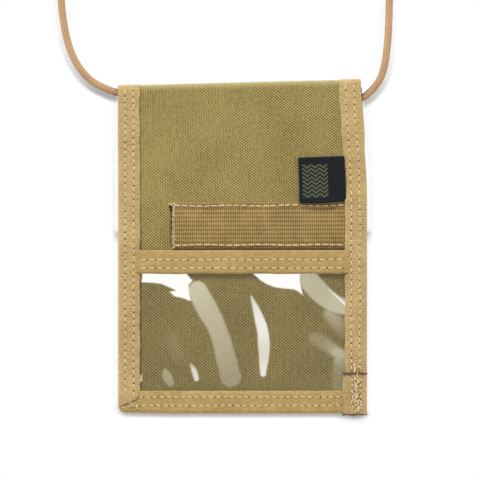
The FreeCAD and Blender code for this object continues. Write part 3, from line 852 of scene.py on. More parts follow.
def fold_slit():
    """Dark sheet painted as the shade in the gap at the fold's right end, between the front's tape and the
    flap's.
    """
    inner = EDGE - 1.2
    u, v = grid(np.linspace(inner, EDGE + 0.55, 5), np.linspace(TOP - 9.5, TOP - 2.6, 8))
    taper = np.sin(np.clip((v - v.min()) / (v.max() - v.min()), 0.02, 1) * math.pi) ** 0.5
    y = np.full(u.shape, (FACE + FLAP_FACE) / 2)
    obj = panel("fold_slit", (inner + (u - inner) * taper, y, v), SCORCH_AND_SHADE, 0.3, 0)
    settle(obj, "binding_tape", ACROSS_FOLD)


def corner_crease():
    """Dark sheet painted as the shade line along the edge of the tuck where the side tape lies over the
    bottom tape.
    """
    reach = np.linspace(0.2, 10.4, 24)
    line = Sweep()
    for shift in (-0.28, 0.28):
        line.add(-(INNER + reach), FACE - 2.42, left_cut(reach) + shift, reach, shift)
    settle(line.cloth("corner_tuck_edge", SCORCH_AND_SHADE, 0.12, 0), "binding_tape", "pouch")


def straight_tape(name, section, reach, material, body, node):
    """A folded tape running along X, reach to either side; section is its (y, z) points."""
    y, z = section
    share = 1 - np.clip((z - z.min()) / 3, 0, 1)
    tape = Sweep()
    for x in spaced(-reach, reach, 2.0):
        ragged = 0.12 * math.sin(x * 0.21) + 0.08 * math.sin(x * 0.57)
        tape.add(x, y, z + ragged * share, distances(y, z), x)
    inward = 1 if z[1] > z[0] else -1
    settle(tape.cloth(name, material, TAPE_THICK, inward), "binding_tape", body, node)


def folded_section(front, back, low, high, bulge, dip=0.25):
    """Section of a tape folded over an edge at height high, which is below low where it hangs."""
    sign = 1 if high > low else -1
    legs = np.linspace(low, high - sign * bulge, 9)
    turn = np.linspace(math.pi, 0, 9)[1:-1]
    middle, half = (front + back) / 2, (back - front) / 2
    rise = np.abs(legs - low)
    edge = np.exp(-rise / 1.2) * dip
    grooves = np.exp(-(((rise - 3.3) / 0.8) ** 2)) + np.exp(-(((rise - 7.9) / 0.8) ** 2))
    y = np.concatenate([front + edge + 0.1 * grooves, middle + half * np.cos(turn), (back - edge)[::-1]])
    z = np.concatenate([legs, high - sign * bulge + sign * bulge * np.sin(turn), legs[::-1]])
    return y, z


def window_band():
    """Tape bound over the film's top edge."""
    section = folded_section(band_low[1] - 0.15, band_high[1] + 0.1, band_low[2], band_high[2], 0.6, 0.12)
    straight_tape("window_band", section, INNER + 3.5, TAPE_ACROSS, "pouch", "window_top_binding")


def back_band():
    """Tape over the back panel's top edge."""
    section = folded_section(BACK_FACE - 0.75, BACK_FACE + 0.8, BACK_TOP - TAPE, BACK_TOP, 0.7)
    straight_tape("back_pocket_band", section, INNER + 2, TAPE_CLOTH, "pouch", "back_panel_binding")


def flap_band():
    """Tape round the bottom of the flap; the side tapes lie over its ends."""
    low = flap_tape_low[2]
    section = folded_section(FLAP_FACE - 0.78, FLAP_FACE + 0.78, low + TAPE, low, 0.7)
    straight_tape("flap_bottom_tape", section, EDGE - 1.2, TAPE_CLOTH, "rear_flap", "flap_binding")


# ---------------------------------------------------------------- window film

# Painted reflections of the lamps in the film: how soft the rim is, then the bends of the line it follows,
# each as (across, down, half width, how strongly it hides the cloth), from the window's upper left corner.
PAINTED_REFLECTIONS = (
    # long curved one left of the middle, fading downwards
    (0.7, (32.0, 9.4, 5.4, 0.46), (37.6, 20.1, 5.7, 0.38), (43.3, 31.2, 5.1, 0.33), (50.4, 57.0, 5.8, 0.18)),
    # bright leaf in the middle
    (0.5, (61.8, 12.4, 0.4, 0.6), (65.4, 22.0, 2.2, 0.76), (68.2, 32.0, 3.0, 0.8), (69.0, 42.0, 3.2, 0.64),
     (68.4, 55.6, 1.6, 0.78)),
    # oval below the upper right corner, its bright upper edge, and the hazy patch under it
    (0.7, (92.6, -1.0, 4.9, 0.44), (94.8, 4.4, 5.5, 0.38), (98.7, 9.0, 5.6, 0.36), (107.5, 16.2, 4.9, 0.42),
     (115.0, 18.7, 4.3, 0.43)),
    (0.5, (101.0, 5.0, 0.1, 0.5), (107.0, 10.4, 0.5, 0.85), (113.6, 16.6, 0.7, 0.95),
     (116.0, 19.0, 0.7, 0.9)),
    (2.6, (105.2, 22.2, 2.6, 0.30), (109.6, 26.6, 3.8, 0.20), (114.5, 33.0, 3.4, 0.08)),
    # bent one on the right
    (1.7, (97.2, 35.9, 3.0, 0.12), (101.0, 37.7, 3.6, 0.13), (105.7, 41.0, 3.1, 0.22),
     (109.5, 43.6, 2.8, 0.36), (114.5, 45.8, 2.6, 0.30)),
    (1.6, (110.9, 46.4, 2.6, 0.32), (110.9, 51.6, 3.4, 0.15), (110.6, 58.0, 3.6, 0.10),
     (111.5, 66.0, 4.0, 0.06)),
    # drops at the lower left
    (0.6, (13.8, 53.8, 1.0, 0.22), (15.3, 57.5, 2.5, 0.24), (17.2, 61.2, 1.7, 0.20)),
    (0.4, (27.8, 49.6, 0.2, 0.3), (29.7, 53.4, 1.4, 0.62), (31.4, 58.4, 1.4, 0.66)),
    (0.3, (0.6, 56.4, 0.3, 0.9), (0.7, 59.3, 0.4, 0.9)),
    # faint hazy patch
    (5.0, (17.0, 36.0, 2.0, 0.05), (21.0, 44.0, 2.0, 0.06)),
)

# Painted white reflections cut off by the tape, as outlines.
PAINTED_WHITE_REFLECTIONS = (
    (
        (1.3, -2.0), (0.8, 4.6), (7.5, 4.9), (12.0, 5.6), (16.0, 7.3), (20.4, 9.3), (16.4, 9.9),
        (19.2, 12.5), (23.5, 13.4), (28.3, 15.2), (27.2, 10.5), (26.9, 6.0), (29.1, 3.8), (26.2, 0.4),
        (26.0, -2.0),
    ),
    (
        (60.8, -2.0), (66.7, 3.4), (70.5, 5.7), (75.1, 7.4), (79.7, 8.1), (85.7, 8.6), (88.2, 9.9),
        (90.6, 12.0), (89.8, 9.0), (89.2, 6.0), (89.0, 3.2), (89.4, -2.0),
    ),
)


def cover_of_line(across, down, bends, softness):
    """How strongly a smooth line of changing width and strength covers each point."""
    nearest = np.full(across.shape, 1e9)
    strength = np.zeros(across.shape)
    for x, y, radius, share in smooth_line(bends, 0.6):
        gap = np.hypot(across - x, down - y) - radius
        strength = np.where(gap < nearest, share, strength)
        nearest = np.minimum(nearest, gap)
    return strength * (1 - step(nearest, -softness, softness))


def nearest_on_outline(across, down, outline):
    """Distance of each point from a closed outline, negative inside it."""
    nearest = np.full(across.shape, 1e9)
    inside = np.zeros(across.shape, bool)
    for (xa, ya), (xb, yb) in zip(outline, outline[1:] + outline[:1]):
        run_x, run_y = xb - xa, yb - ya
        share = np.clip(((across - xa) * run_x + (down - ya) * run_y) / (run_x**2 + run_y**2), 0, 1)
        nearest = np.minimum(nearest, np.hypot(across - xa - share * run_x, down - ya - share * run_y))
        if ya != yb:
            crosses = (down < ya) != (down < yb)
            inside ^= crosses & (across < xa + (down - ya) * run_x / run_y)
    return np.where(inside, -nearest, nearest)


def painted_reflection_strength(x, z):
    """How much of each point of the film is covered by a painted reflection of the lights."""
    across = x + INNER + 0.2 * wave(x, z, 9, 0.7)
    down = band_low[2] - z
    covered = np.zeros(x.shape)
    for softness, *bends in PAINTED_REFLECTIONS:
        covered = np.maximum(covered, cover_of_line(across, down, bends, softness))
    for outline in PAINTED_WHITE_REFLECTIONS:
        covered = np.maximum(covered, 1 - step(nearest_on_outline(across, down, outline), -0.35, 0.35))
    return covered


def window():
    """Clear film, bulging softly between its seams."""
    reach = INNER + 4
    u, v = grid(spaced(-reach, reach, 0.5), spaced(film_low[2] + 2, film_high[2] - 0.8, 0.5))
    free = (1 - np.clip(np.abs(u) / INNER, 0, 1) ** 6) * np.clip((v - 10) / 12, 0, 1)
    swell = 0.35 * wave(u, v, 38, 1.3) + 0.15 * wave(u, v, 15, 2.1)
    near_band = step(v, band_low[2] - 6, band_low[2])
    y = film_high[1] + 0.15 + swell * free * (1 - near_band) - 0.12 * free
    obj = panel("window_sheet", (u, y, v), FILM)
    # painted reflections, stored per point for the film's material
    painted_glare = obj.data.attributes.new("painted_glare", "FLOAT", "POINT")
    painted_glare.data.foreach_set("value", painted_reflection_strength(u, v).ravel().astype(np.float32))
    settle(obj, "clear_film", "pouch", "window_film")


# ---------------------------------------------------------------- webbing, label, hook and loop


def webbing():
    """Webbing strip sewn down along both hems; its left end gapes and frays."""
    left = web_low[0] - 0.5
    u, v = grid(spaced(left, INNER + 3, 1.0), spaced(web_low[2], web_high[2], 0.9))
    rise = v - WEB_MIDDLE
    between = 1 - np.clip(np.abs(rise) / (WEB_HALF - 3.0), 0, 1) ** 4
    gape = np.exp(-(u - left) / 7)
    selvage = np.exp(-(WEB_HALF - np.abs(rise)) / 0.5)
    y = web_low[1] + 1.1 - between * (0.45 + 1.25 * gape) - 0.15 * wave(u, v, 30, 0.9) + 0.12 * selvage
    frayed = np.exp(-(u - left) / 1.5) * (0.3 * np.sin(v * 1.9) + 0.2 * np.sin(v * 3.1 + 1))
    x = u + gape * (0.15 * np.sin(v * 0.5) + 0.35 * rise / WEB_HALF) + frayed
    obj = panel("webbing_strip", (x, y, v), WEBBING, 0.9, -1, (u, v))
    settle(obj, "webbing", "pouch", "webbing_sleeve")


def webbing_shadow_gap():
    """The dark mouth under the strip's raised left end, and the dark line below the strip."""
    left = web_low[0]
    u, v = grid(np.linspace(left - 1.3, left + 3, 6), spaced(web_low[2] + 0.8, web_high[2] - 2.2, 1.5))
    open_top = step(v, web_high[2] - 6, web_high[2] - 3) * step(left - u, 0, 1.2)
    mouth = (u - 1.2 * open_top + 0.15 * np.sin(v * 1.7), np.full(u.shape, FACE - CLOTH / 2 - 0.1), v)
    u, v = grid(spaced(left, INNER + 1, 3.0), np.linspace(band_high[2] - 1.0, web_low[2] + 0.35, 3))
    line = (u, np.full(u.shape, web_low[1] + 0.2), v)
    for name, place in (("webbing_mouth", mouth), ("webbing_lower_gap", line)):
        settle(panel(name, place, DARK, 0.08, 0), "webbing", "pouch")


def label():
    """Folded woven label: two layers joined by a round fold at the left, slightly cupped."""
    fold_x, seam_x = label_low[0], label_high[0] + 0.4
    low, high = label_low[2] - 0.9, label_high[2] + 0.6
    middle = (label_low[1] + label_high[1]) / 2
    half = 0.42
    turn = np.linspace(-math.pi / 2, math.pi / 2, 7)[1:-1]
    run = spaced(seam_x, fold_x + half, 0.8)
    x = np.concatenate([run, fold_x + half - half * np.cos(turn), run[::-1]])
    side = np.concatenate([np.full(len(run), -1.0), np.sin(turn), np.full(len(run), 1.0)])
    across = np.where(side < 0, x - fold_x, distances(x, half * side) + 40)
    away = np.clip((seam_x - x) / (seam_x - fold_x), 0, 1)
    belly = np.sin(away * math.pi)
    cloth = Sweep()
    for z in spaced(low, high, 0.8):
        share = (z - low) / (high - low)
        flare = 2.3 * (1 - share) ** 3 * belly
        lift = 1.15 * away**1.5 + 0.3 * math.sin(math.pi * share) + flare
        drawn_up = (1 - share) ** 2 * (1.3 * np.exp(-(seam_x - x) / 1.6) - 0.4 * belly)
        sag = away * (0.7 + 0.2 * (1 - share))
        cloth.add(x + 0.35, middle + side * half - lift - 0.35, z - sag + drawn_up, across, z - low)
    obj = cloth.cloth("side_label", LABEL, 0.3, 0)
    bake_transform(obj)
    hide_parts("woven_label")


def back_cloth():
    """The back's cloth, up to the mouth that the flap closes."""
    across = spaced(back_low[0] + 0.3, back_high[0] - 0.3, 2.0)
    u, v = grid(across, spaced(back_low[2] + 0.2, back_high[2] - 0.4, 2.0))
    free = (1 - (np.abs(u) / EDGE) ** 4) * step(v, 0, 30) * (1 - step(v, 108, 116))
    x, z = inside_corner(u, v, 0.8)
    place = (x, BACK_FACE + 0.3 * wave(u, v, 70, 2.6) * free, z)
    settle(panel("back_cloth", place, CORDURA, CLOTH, 0, (u, v)), "cordura", "pouch", "back_panel")


def pile_strip(name, low, high, towards, bristle, material, body, node, slot):
    """Hook or loop strip: a backing with a nap of small random tufts."""
    u, v = grid(spaced(low[0], high[0], 1.1), spaced(low[2], high[2], 1.1))
    rim = np.minimum.reduce([u - low[0], high[0] - u, v - low[2], high[2] - v])
    nap = np.random.RandomState(len(name)).rand(*u.shape) * bristle * step(rim, 0.5, 2.0)
    ground = (low[1] if towards > 0 else high[1]) + towards * 0.9
    y = ground + towards * (nap - 0.5 * (1 - step(rim, -0.5, 1.5)))
    settle(panel(name, (u, y, v), material, 0.8, towards), slot, body, node)


def cloth_tube():
    """Sleeve for the cord: a rolled hem whose tail is sewn to the front cloth."""
    radius = (sleeve_high[1] - sleeve_low[1]) / 2
    centre_z = sleeve_high[2] - radius
    turn = np.linspace(math.pi * 1.02, -math.pi * 0.98, 25)
    y = np.concatenate([TUNNEL_Y + radius * np.cos(turn), [sleeve_low[1] + 0.1] * 6])
    z = np.concatenate([centre_z + radius * np.sin(turn), np.linspace(centre_z - 1, sleeve_low[2], 6)])
    tube = Sweep()
    for x in spaced(sleeve_low[0], sleeve_high[0], 2.0):
        tube.add(x, y, z + 0.12 * math.sin(x * 0.35), distances(y, z), x)
    obj = sheet("cord_tunnel", tube.points, tube.uvs, TAPE_CLOTH, 0.3, 1)
    settle(obj, "binding_tape", "pouch", "cord_sleeve")


# ---------------------------------------------------------------- stitching


RING = np.arange(6) * math.pi / 3       # angles round a thread or a needle hole
OUT_FRONT = np.array([0.0, -1.0, 0.0])
OUT_BACK = np.array([0.0, 1.0, 0.0])
LEVEL = np.array([1.0, 0.0, 0.0])
OUTER_ROW, INNER_ROW = 4.2, 8.95        # the two rows of stitches, from the pouch's edge


class Seam:
    """Collects stitches and needle holes into one mesh."""

    def __init__(self):
        self.verts = []
        self.faces = []
        self.uvs = []
        self.kinds = []

    def add(self, points, uvs, kind):
        """A closed tube of rings of RING points."""
        base = sum(len(block) for block in self.verts)
        self.verts.append(np.array(points))
        self.uvs += uvs
        faces = tube_faces(len(points) // len(RING), len(RING))
        self.faces += [tuple(base + k for k in face) for face in faces]
        self.kinds += [kind] * len(faces)

    def stitch(self, start, end, out, width):
        """One stitch: a small roll of thread that dives into the cloth at both ends."""
        run = end - start
        length = np.linalg.norm(run)
        along = run / length
        side = np.cross(out, along)
        points, uvs = [], []
        for share in (0.0, 0.12, 0.32, 0.5, 0.68, 0.88, 1.0):
            belly = math.sqrt(max(0.0, 1 - (2 * share - 1) ** 4))
            radius = width / 2 * (0.35 + 0.65 * belly)
            centre = start + run * share + out * (0.16 * belly - 0.16)
            for angle in RING:
                spread = side * math.cos(angle) + out * 0.7 * math.sin(angle)
                points.append(centre + spread * radius)
                uvs.append((share * length, angle / 6))
        self.add(points, uvs, 0)

    def hole(self, place, out, along, radius):
        """Dimple round a needle hole."""
        side = np.cross(out, along)
        points, uvs = [], []
        for depth, size in ((-0.1, 1.0), (0.05, 0.9), (0.06, 0.2)):
            for angle in RING:
                spread = side * math.cos(angle) + along * 0.75 * math.sin(angle)
                points.append(place + spread * radius * size + out * depth)
                uvs.append((angle, size))
        self.add(points, uvs, 1)

    def row(self, path, pitch=3.9, width=0.68, share=0.7, hole=0.5, jitter=0.32):
        """Stitches along a path: (function of distance giving point and outward direction, length)."""
        place, length = path
        count = max(1, int(length / pitch))
        pitch = length / count
        for index in range(count):
            begin = index * pitch + random.uniform(-jitter, jitter)
            finish = begin + pitch * share
            a, out = place(begin)
            b, _ = place(finish)
            wobble = np.cross(out, (b - a) / np.linalg.norm(b - a)) * random.uniform(-0.24, 0.24)
            self.stitch(a + wobble, b - wobble, out, width * random.uniform(0.85, 1.15))
            dark, out = place(finish + pitch * (1 - share) / 2)
            if hole and out[2] < 0.2:
                self.hole(dark, out, (b - a) / np.linalg.norm(b - a), hole * random.uniform(0.7, 1.15))

    def build(self, name, body, node):
        points = lie(np.concatenate(self.verts))
        obj = mesh_object(name, points, self.faces, self.uvs, [THREAD, HOLE], self.kinds)
        settle(obj, "thread", body, node)


def level_row(left, right, z, y, out, wander=0.12):
    """A row along X at height z on a face at y."""

    def place(distance):
        x = left + distance
        return np.array([x, y, z + wander * math.sin(x * 0.19 + z)]), out

    return place, right - left


def upright_row(side, inset, start, level):
    """A row up a side tape from height start, over the fold and down the flap's outer face."""
    y, z, normal_y, normal_z, run = LINE
    first = np.interp(start, z[normal_y < -0.999], run[normal_y < -0.999])

    def place(distance):
        station = first + distance
        height = np.interp(station, run, z)
        out = np.array([0, np.interp(station, run, normal_y), np.interp(station, run, normal_z)])
        out = out / np.linalg.norm(out)
        ahead = level(height) if out[1] < -0.999 else 0.8
        x = side * (EDGE - inset + 0.14 * math.sin(station * 0.16 + inset))
        return np.array([x, np.interp(station, run, y), height]) + out * (ahead + 0.06), out

    return place, run[-1] - 1 - first


def edge_seams():
    """Two rows down each side, over the fold, and along the bottom."""
    seam = Seam()
    for inset in (OUTER_ROW, INNER_ROW):
        seam.row(upright_row(-1, inset, 14 - inset * 0.5, lambda z: side_level(-1, z)))
        seam.row(upright_row(1, inset, wrap_high[2] + 1.5, lambda z: side_level(1, z)))
    face = FACE - 2.2
    seam.row(level_row(-EDGE + OUTER_ROW + 5.0, wrap_low[0] - 0.4, OUTER_ROW + 0.1, face, OUT_FRONT))
    seam.row(level_row(-INNER - 1.0, wrap_low[0] - 0.4, INNER_ROW + 0.1, face, OUT_FRONT))
    for shift in range(6):
        start = np.array([-EDGE + 6.6 + shift * 0.8, FACE - 2.35, 6.0 - shift * 0.35])
        turn = 0.5 + 0.8 * (shift % 2)
        run = np.array([math.cos(turn), 0, -math.sin(turn)]) * random.uniform(1.4, 2.2)
        seam.stitch(start, start + run, OUT_FRONT, 0.6)
        seam.hole(start + run * 1.15, OUT_FRONT, LEVEL, 0.4)
    last = np.array([-EDGE + 2.6, FACE - 2.35, 4.3])
    seam.stitch(last, last + np.array([1.1, 0, -1.6]), OUT_FRONT, 0.6)
    seam.build("edge_seams", ACROSS_FOLD, "edge_stitching")


def window_seams():
    """Two rows along the band over the film."""
    seam = Seam()
    low = band_low[2]
    face = band_low[1] - 0.12
    for rise in (3.2, 7.9):
        seam.row(level_row(-INNER + 0.3, INNER - 0.3, low + rise, face, OUT_FRONT), 4.5)
    seam.build("window_seams", "pouch", "window_stitching")


def webbing_seams():
    """Long loose stitches along the webbing's hems, with the tail left at the upper left."""
    seam = Seam()
    left = web_low[0] + 0.6
    for height in (web_low[2] + 2.4, web_high[2] - 2.4):
        path = level_row(left, INNER - 0.5, height, web_low[1] + 0.3, OUT_FRONT, 0.25)
        seam.row(path, pitch=4.06, width=0.75, share=0.86, hole=0.25, jitter=0.3)
    tail = np.array([web_low[0] - 2.6, web_low[1] + 0.5, web_high[2] - 1.2])
    for turn in (0.1, 0.5):
        reach = np.array([3.0 * math.cos(turn), 0, -3.0 * math.sin(turn)])
        seam.stitch(tail, tail + reach, OUT_FRONT, 0.5)
    for height in np.arange(web_low[2] + 1.0, web_high[2] - 2.6, 0.75):
        start = np.array([left + random.uniform(0.2, 0.9), web_low[1] - 0.35, height])
        yarn = np.array([-random.uniform(0.9, 1.5), 0.35, random.uniform(-0.35, 0.35)])
        seam.stitch(start, start + yarn, OUT_FRONT, 0.4)
    seam.build("webbing_seams", "pouch", "webbing_stitching")


def bartack():
    """The side's two rows run on over the wrapped tape end, with a dense wandering row between them."""
    seam = Seam()
    face = FACE - 3.0
    for inset in (OUTER_ROW, INNER_ROW):
        z = wrap_low[2] + 2.2
        while z < wrap_high[2] + 1.0:
            start = np.array([EDGE - inset + 0.4 + random.uniform(-0.3, 0.3), face - 0.1, z])
            end = start + np.array([random.uniform(-0.4, 0.4), 0, random.uniform(1.8, 2.3)])
            seam.stitch(start, end, OUT_FRONT, 0.8)
            seam.hole(end + np.array([0, 0.05, 0.5]), OUT_FRONT, LEVEL, 0.4)
            z += 3.1
    z = wrap_low[2] + 0.4
    while z < wrap_high[2] + 4.5:
        middle = EDGE - (OUTER_ROW + INNER_ROW) / 2 + 0.2 + 0.9 * math.sin(z * 0.5)
        start = np.array([middle + random.uniform(-1.3, 1.3), face - 0.15, z])
        turn = random.uniform(0.5, 2.6)
        end = start + np.array([math.cos(turn), 0, math.sin(turn)]) * random.uniform(1.3, 2.3)
        seam.stitch(start, end, OUT_FRONT, 0.85)
        if random.random() < 0.4:
            seam.hole(end + np.array([random.uniform(-0.5, 0.5), 0.05, 0.3]), OUT_FRONT, LEVEL, 0.4)
        z += random.uniform(0.4, 0.7)
    seam.build("bartack", "pouch", "bartack_stitching")


def back_seams():
    """Rows along the back's mouth, down both sides and along the bottom."""
    seam = Seam()
    low = BACK_TOP - TAPE
    face = BACK_FACE + 0.86
    for rise in (3.3, 8.2):
        seam.row(level_row(-INNER, INNER, low + rise, face, OUT_BACK))
    for inset in (OUTER_ROW, INNER_ROW):
        seam.row(level_row(-EDGE + inset, wrap_low[0] - 0.5, inset, BACK_FACE + 0.83, OUT_BACK))
        for side, start in ((-1, inset + 2), (1, wrap_high[2] + 1)):

            def place(distance, side=side, start=start, inset=inset):
                return np.array([side * (EDGE - inset), BACK_FACE + 0.9, start + distance]), OUT_BACK

            seam.row((place, BACK_TOP - 6 - start))
    seam.build("back_seams", "pouch", "back_stitching")


def flap_seams():
    """Rows along the flap's bottom tape and round its hook strip."""
    seam = Seam()
    for inset in (OUTER_ROW, INNER_ROW):
        height = flap_tape_low[2] + inset
        seam.row(level_row(-EDGE + inset, EDGE - inset, height, FLAP_FACE + 0.8, OUT_BACK))
        seam.row(level_row(-INNER, INNER, height, FLAP_FACE - 0.8, OUT_FRONT))
    for height in (hook_low[2] + 2, hook_high[2] - 2):
        path = level_row(hook_low[0] + 2, hook_high[0] - 2, height, FLAP_FACE + 0.42, OUT_BACK)
        seam.row(path, pitch=3.0, width=0.5)
    seam.build("flap_seams", "rear_flap", "flap_stitching")


# ---------------------------------------------------------------- neck cord


def braided_tube(name, line, *nodes, ends=1.2):
    """A cord along a line, its braid raised in the surface, with rounded melted ends."""
    along = np.gradient(line, axis=0)
    along /= np.linalg.norm(along, axis=1)[:, None]
    frame_y = np.array([0.0, 1.0, 0.0])
    run = distances(*line.T)
    columns = 32
    turn = np.arange(columns) / columns
    rows, uvs = [], []
    for place, direction, distance in zip(line, along, run):
        frame_y = frame_y - direction * np.dot(frame_y, direction)
        frame_y /= np.linalg.norm(frame_y)
        side = np.cross(direction, frame_y)
        left = np.sin((turn * BRAID_TURNS + distance * 2 / BRAID_PITCH) * 2 * math.pi)
        right = np.sin((turn * BRAID_TURNS - distance * 2 / BRAID_PITCH) * 2 * math.pi)
        nearest_end = min(distance, run[-1] - distance)
        closing = math.sqrt(max(0.02, 1 - max(0.0, 1 - nearest_end / ends) ** 2))
        size = (CORD_RADIUS + 0.03 + 0.08 * left * right) * closing
        angle = turn * 2 * math.pi
        ring = place + np.outer(np.cos(angle) * size, frame_y) + np.outer(np.sin(angle) * size, side)
        rows.append(ring)
        uvs.append(np.column_stack([turn, np.full(columns, distance)]))
    faces = tube_faces(len(rows), columns)
    obj = mesh_object(name, np.concatenate(rows), faces, np.concatenate(uvs), [CORD])
    settle(obj, "cord", "neck_loop", *nodes)


def neck_cord():
    """From the sleeve up both sides, together through the lock and into the knot."""
    right_x = cord_high[0] - CORD_RADIUS
    left_x = cord_low[0] + CORD_RADIUS
    rise_end = 331
    knot_z = LOCK_Z + 36
    near, far = LOCK_Y - STRAND_GAP / 2, LOCK_Y + STRAND_GAP / 2
    right = [(right_x, TUNNEL_Y, rise_end)]
    left = [(left_x, TUNNEL_Y, rise_end)]
    for side, line, depth in ((right_x, right, near), (left_x, left, far)):
        sign = math.copysign(1, side)
        for inward, rise in ((2.2, 12), (8.5, 24), (19, 32.5), (34, 37.5), (66, 43.0)):
            share = inward / abs(side - LOCK_X)
            line.append((side - sign * inward, mix(TUNNEL_Y, depth, share), rise_end + rise))
        line.append((LOCK_X + sign * 9, depth, rise_end + 46.5))
        line.append((LOCK_X + sign * 2.4, depth, rise_end + 50.3))
        line.append((LOCK_X, depth, rise_end + 57))
        line.append((LOCK_X, depth, LOCK_Z))
        line.append((LOCK_X, depth, LOCK_Z + 20))
        line.append((LOCK_X, mix(depth, LOCK_Y, 0.25), knot_z))
    low_right = (
        (0, 0), (52, -0.2), (62, -2.6), (67.0, -1.2), (71.4, 2.2), (75.6, 7.2), (78.4, 13.5), (80.6, 26),
        (right_x + 0.4, 52), (right_x, 100),
    )
    low_left = (
        (0, 0), (-58, 0.6), (-69.5, 1.6), (-77.5, 4.4), (-85, 8.8), (-92, 17), (-96.6, 27), (-99.4, 38.5),
        (left_x - 0.3, 56), (left_x, 100),
    )
    low_right = [(x, TUNNEL_Y, TUNNEL_Z + rise) for x, rise in low_right]
    low_left = [(x, TUNNEL_Y, TUNNEL_Z + rise) for x, rise in low_left]
    line = smooth_line(left[::-1] + low_left[::-1] + low_right[1:] + right, 0.55)
    braided_tube("neck_cord_loop", line, "neck_cord")
    for name, shift, tip in (("cord_end_front", -2.1, 0.6), ("cord_end_rear", 2.1, -0.5)):
        start = (LOCK_X, LOCK_Y + shift * 0.4, knot_z + 3)
        bend = (LOCK_X + tip, LOCK_Y + shift, knot_z + 10)
        top = (LOCK_X + tip * 3, LOCK_Y + shift * 0.8, cord_high[2] - 0.4)
        braided_tube(name, smooth_line([start, bend, top], 0.55))


def knot():
    """Overhand knot that keeps both strands together above the lock."""
    centre = np.array([LOCK_X, LOCK_Y, LOCK_Z + 41])
    turn = np.linspace(0, 2 * math.pi, 150)
    size = 1.75
    x = size * (np.sin(turn) + 2 * np.sin(2 * turn))
    z = size * (np.cos(turn) - 2 * np.cos(2 * turn))
    y = -1.9 * np.sin(3 * turn)
    braided_tube("cord_knot", centre + np.column_stack([x, y, z]), ends=0.01)


# ---------------------------------------------------------------- cord lock


def lock_coil():
    """Coil spring between the barrel's floor and the plunger, built at rest; the real one shortens as the
    button is pressed.
    """
    low, high = corners("lock_spring")
    wire, turns, press = 0.35, 4, 3.0
    centre = (low + high) / 2
    radius = (high[2] - low[2]) / 2 - wire
    around, angles = grid(np.arange(8) * math.pi / 4, np.linspace(0, turns * 2 * math.pi, turns * 36 + 1))
    x = mix(low[0] + wire, high[0] - wire, angles / angles.max()) + wire * np.sin(around)
    reach = radius + wire * np.cos(around)
    points = np.dstack([x, centre[1] + reach * np.cos(angles), centre[2] + reach * np.sin(angles)])
    faces = [face[::-1] for face in tube_faces(*angles.shape)]
    uvs = np.dstack([angles * radius, around]).reshape(-1, 2)
    obj = mesh_object("coil_spring", points.reshape(-1, 3), faces, uvs, [STEEL])
    settle(obj, "spring_steel", "cord_lock", "lock_spring")
    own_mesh(obj)


def finish_lock():
    """The lock's hard parts keep their CAD meshes."""
    for node, material in (("lock_body", LOCK), ("lock_plunger", BUTTON)):
        obj = frame["nodes"][node]
        obj.data.materials.clear()
        obj.data.materials.append(material)


# ---------------------------------------------------------------- floor, lights, camera

PHOTO_WIDTH = 266.9                 # millimetres seen across the frame
AIM = (-1.4, 96.4)                  # centre of the frame, X and Z
CAMERA_DISTANCE = 1900.0
SENSOR = 36.0


def floor():
    """Pale floor just behind the pouch, seen only from the front; it takes no real shadows, only painted
    soft shadows where the pouch hides more of the space above a point than below it.
    """
    shader = Shader("floor")
    clear = shader.node("ShaderNodeBsdfTransparent")
    above, below = (shader.covered(6.0, 12, (0.0, -0.62, up)) for up in (0.78, -0.78))
    # painted shadow: darker below the pouch and the cord, for camera rays on the front side only
    hidden = (above - below - 0.08) * 8.0
    seen = shader.field(shader.node("ShaderNodeLightPath"), "Is Camera Ray")
    front = shader.field(shader.node("ShaderNodeNewGeometry"), "Backfacing").rest()
    colour = shader.blend(seen * front * hidden.limit(), (1, 1, 1, 1), linear(96, 88, 76))
    shader.link(colour, clear.inputs["Color"])
    shader.link(clear.outputs[0], shader.output.inputs["Surface"])
    reach, behind = 1500, FLAP_FACE + 1.0
    turns = ((-1, -1), (1, -1), (1, 1), (-1, 1))
    floor_corners = [(reach * x, behind, reach * z) for x, z in turns]
    mesh_object("floor", floor_corners, [(0, 1, 2, 3)], None, [shader.material])


def world():
    """White surroundings for the camera, a dimmer white for lighting."""
    scene = bpy.context.scene
    scene.world = bpy.data.worlds.new("studio")
    scene.world.use_nodes = True
    tree = scene.world.node_tree
    ground = tree.nodes["Background"]
    ground.inputs["Color"].default_value = (1, 1, 1, 1)
    ground.inputs["Strength"].default_value = 0.5
    white = tree.nodes.new("ShaderNodeBackground")
    white.inputs["Strength"].default_value = 1.0
    white.inputs["Color"].default_value = (1, 1, 1, 1)
    path = tree.nodes.new("ShaderNodeLightPath")
    both = tree.nodes.new("ShaderNodeMixShader")
    tree.links.new(path.outputs["Is Camera Ray"], both.inputs["Fac"])
    tree.links.new(ground.outputs[0], both.inputs[1])
    tree.links.new(white.outputs[0], both.inputs[2])
    tree.links.new(both.outputs[0], tree.nodes["World Output"].inputs["Surface"])
    scene.view_settings.view_transform = "Standard"


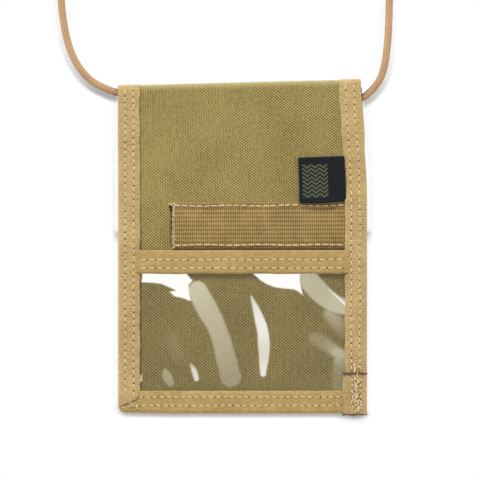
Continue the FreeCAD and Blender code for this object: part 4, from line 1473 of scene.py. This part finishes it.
def lights():
    """Large soft lamps round the pouch, all turned to its middle; places in metres, power in watts."""
    middle = Vector((0, 0, 0.1))
    lamps = (
        ("key", (-0.55, -0.95, 1.5), 0.55, 24),
        ("fill", (0.9, -1.3, 0.4), 1.0, 4),
        ("rear", (0.5, 1.3, 0.9), 0.9, 12),
        ("rim_left", (-1.3, 0.0, 0.15), 0.7, 5),
        ("rim_right", (1.3, 0.0, 0.15), 0.7, 6),
        ("rim_low", (0.0, -0.1, -1.2), 0.7, 3),
    )
    for name, place, size, power in lamps:
        light = bpy.data.lights.new(name, "AREA")
        light.size = size
        light.energy = power
        obj = bpy.data.objects.new(name, light)
        obj.location = place
        obj.rotation_euler = (middle - Vector(place)).to_track_quat("-Z", "Y").to_euler()
        bpy.context.scene.collection.objects.link(obj)


def camera():
    """A long lens straight in front, framing the pouch and the lower part of its cord."""
    data = bpy.data.cameras.new("camera")
    data.sensor_width = SENSOR
    data.lens = SENSOR * CAMERA_DISTANCE / PHOTO_WIDTH
    data.clip_end = 20
    obj = bpy.data.objects.new("camera", data)
    obj.location = (AIM[0] * MM, (FACE - 3 - CAMERA_DISTANCE) * MM, AIM[1] * MM)
    obj.rotation_euler = (math.pi / 2, 0, 0)
    bpy.context.scene.collection.objects.link(obj)
    bpy.context.scene.camera = obj


# ---------------------------------------------------------------- the pouch

front_and_flap()
back_cloth()
bottom_tape()
side_tape("left_side_tape", -1, left_cut)
side_tape("right_side_tape", 1, right_cut, "right_binding")
end_wrap()
wrap_edge_melt()
fold_slit()
corner_crease()
window()
window_band()
back_band()
flap_band()
webbing()
webbing_shadow_gap()
label()
pile_strip("loop_pile_strip", loop_low, loop_high, 1, 0.5, LOOP, "pouch", "loop_strip", "loop_pile")
pile_strip("hook_pile_strip", hook_low, hook_high, -1, 0.45, HOOK, "rear_flap", "hook_strip", "hook_tape")
cloth_tube()
edge_seams()
window_seams()
webbing_seams()
bartack()
back_seams()
flap_seams()
neck_cord()
knot()
lock_coil()
finish_lock()
floor()
world()
lights()
camera()
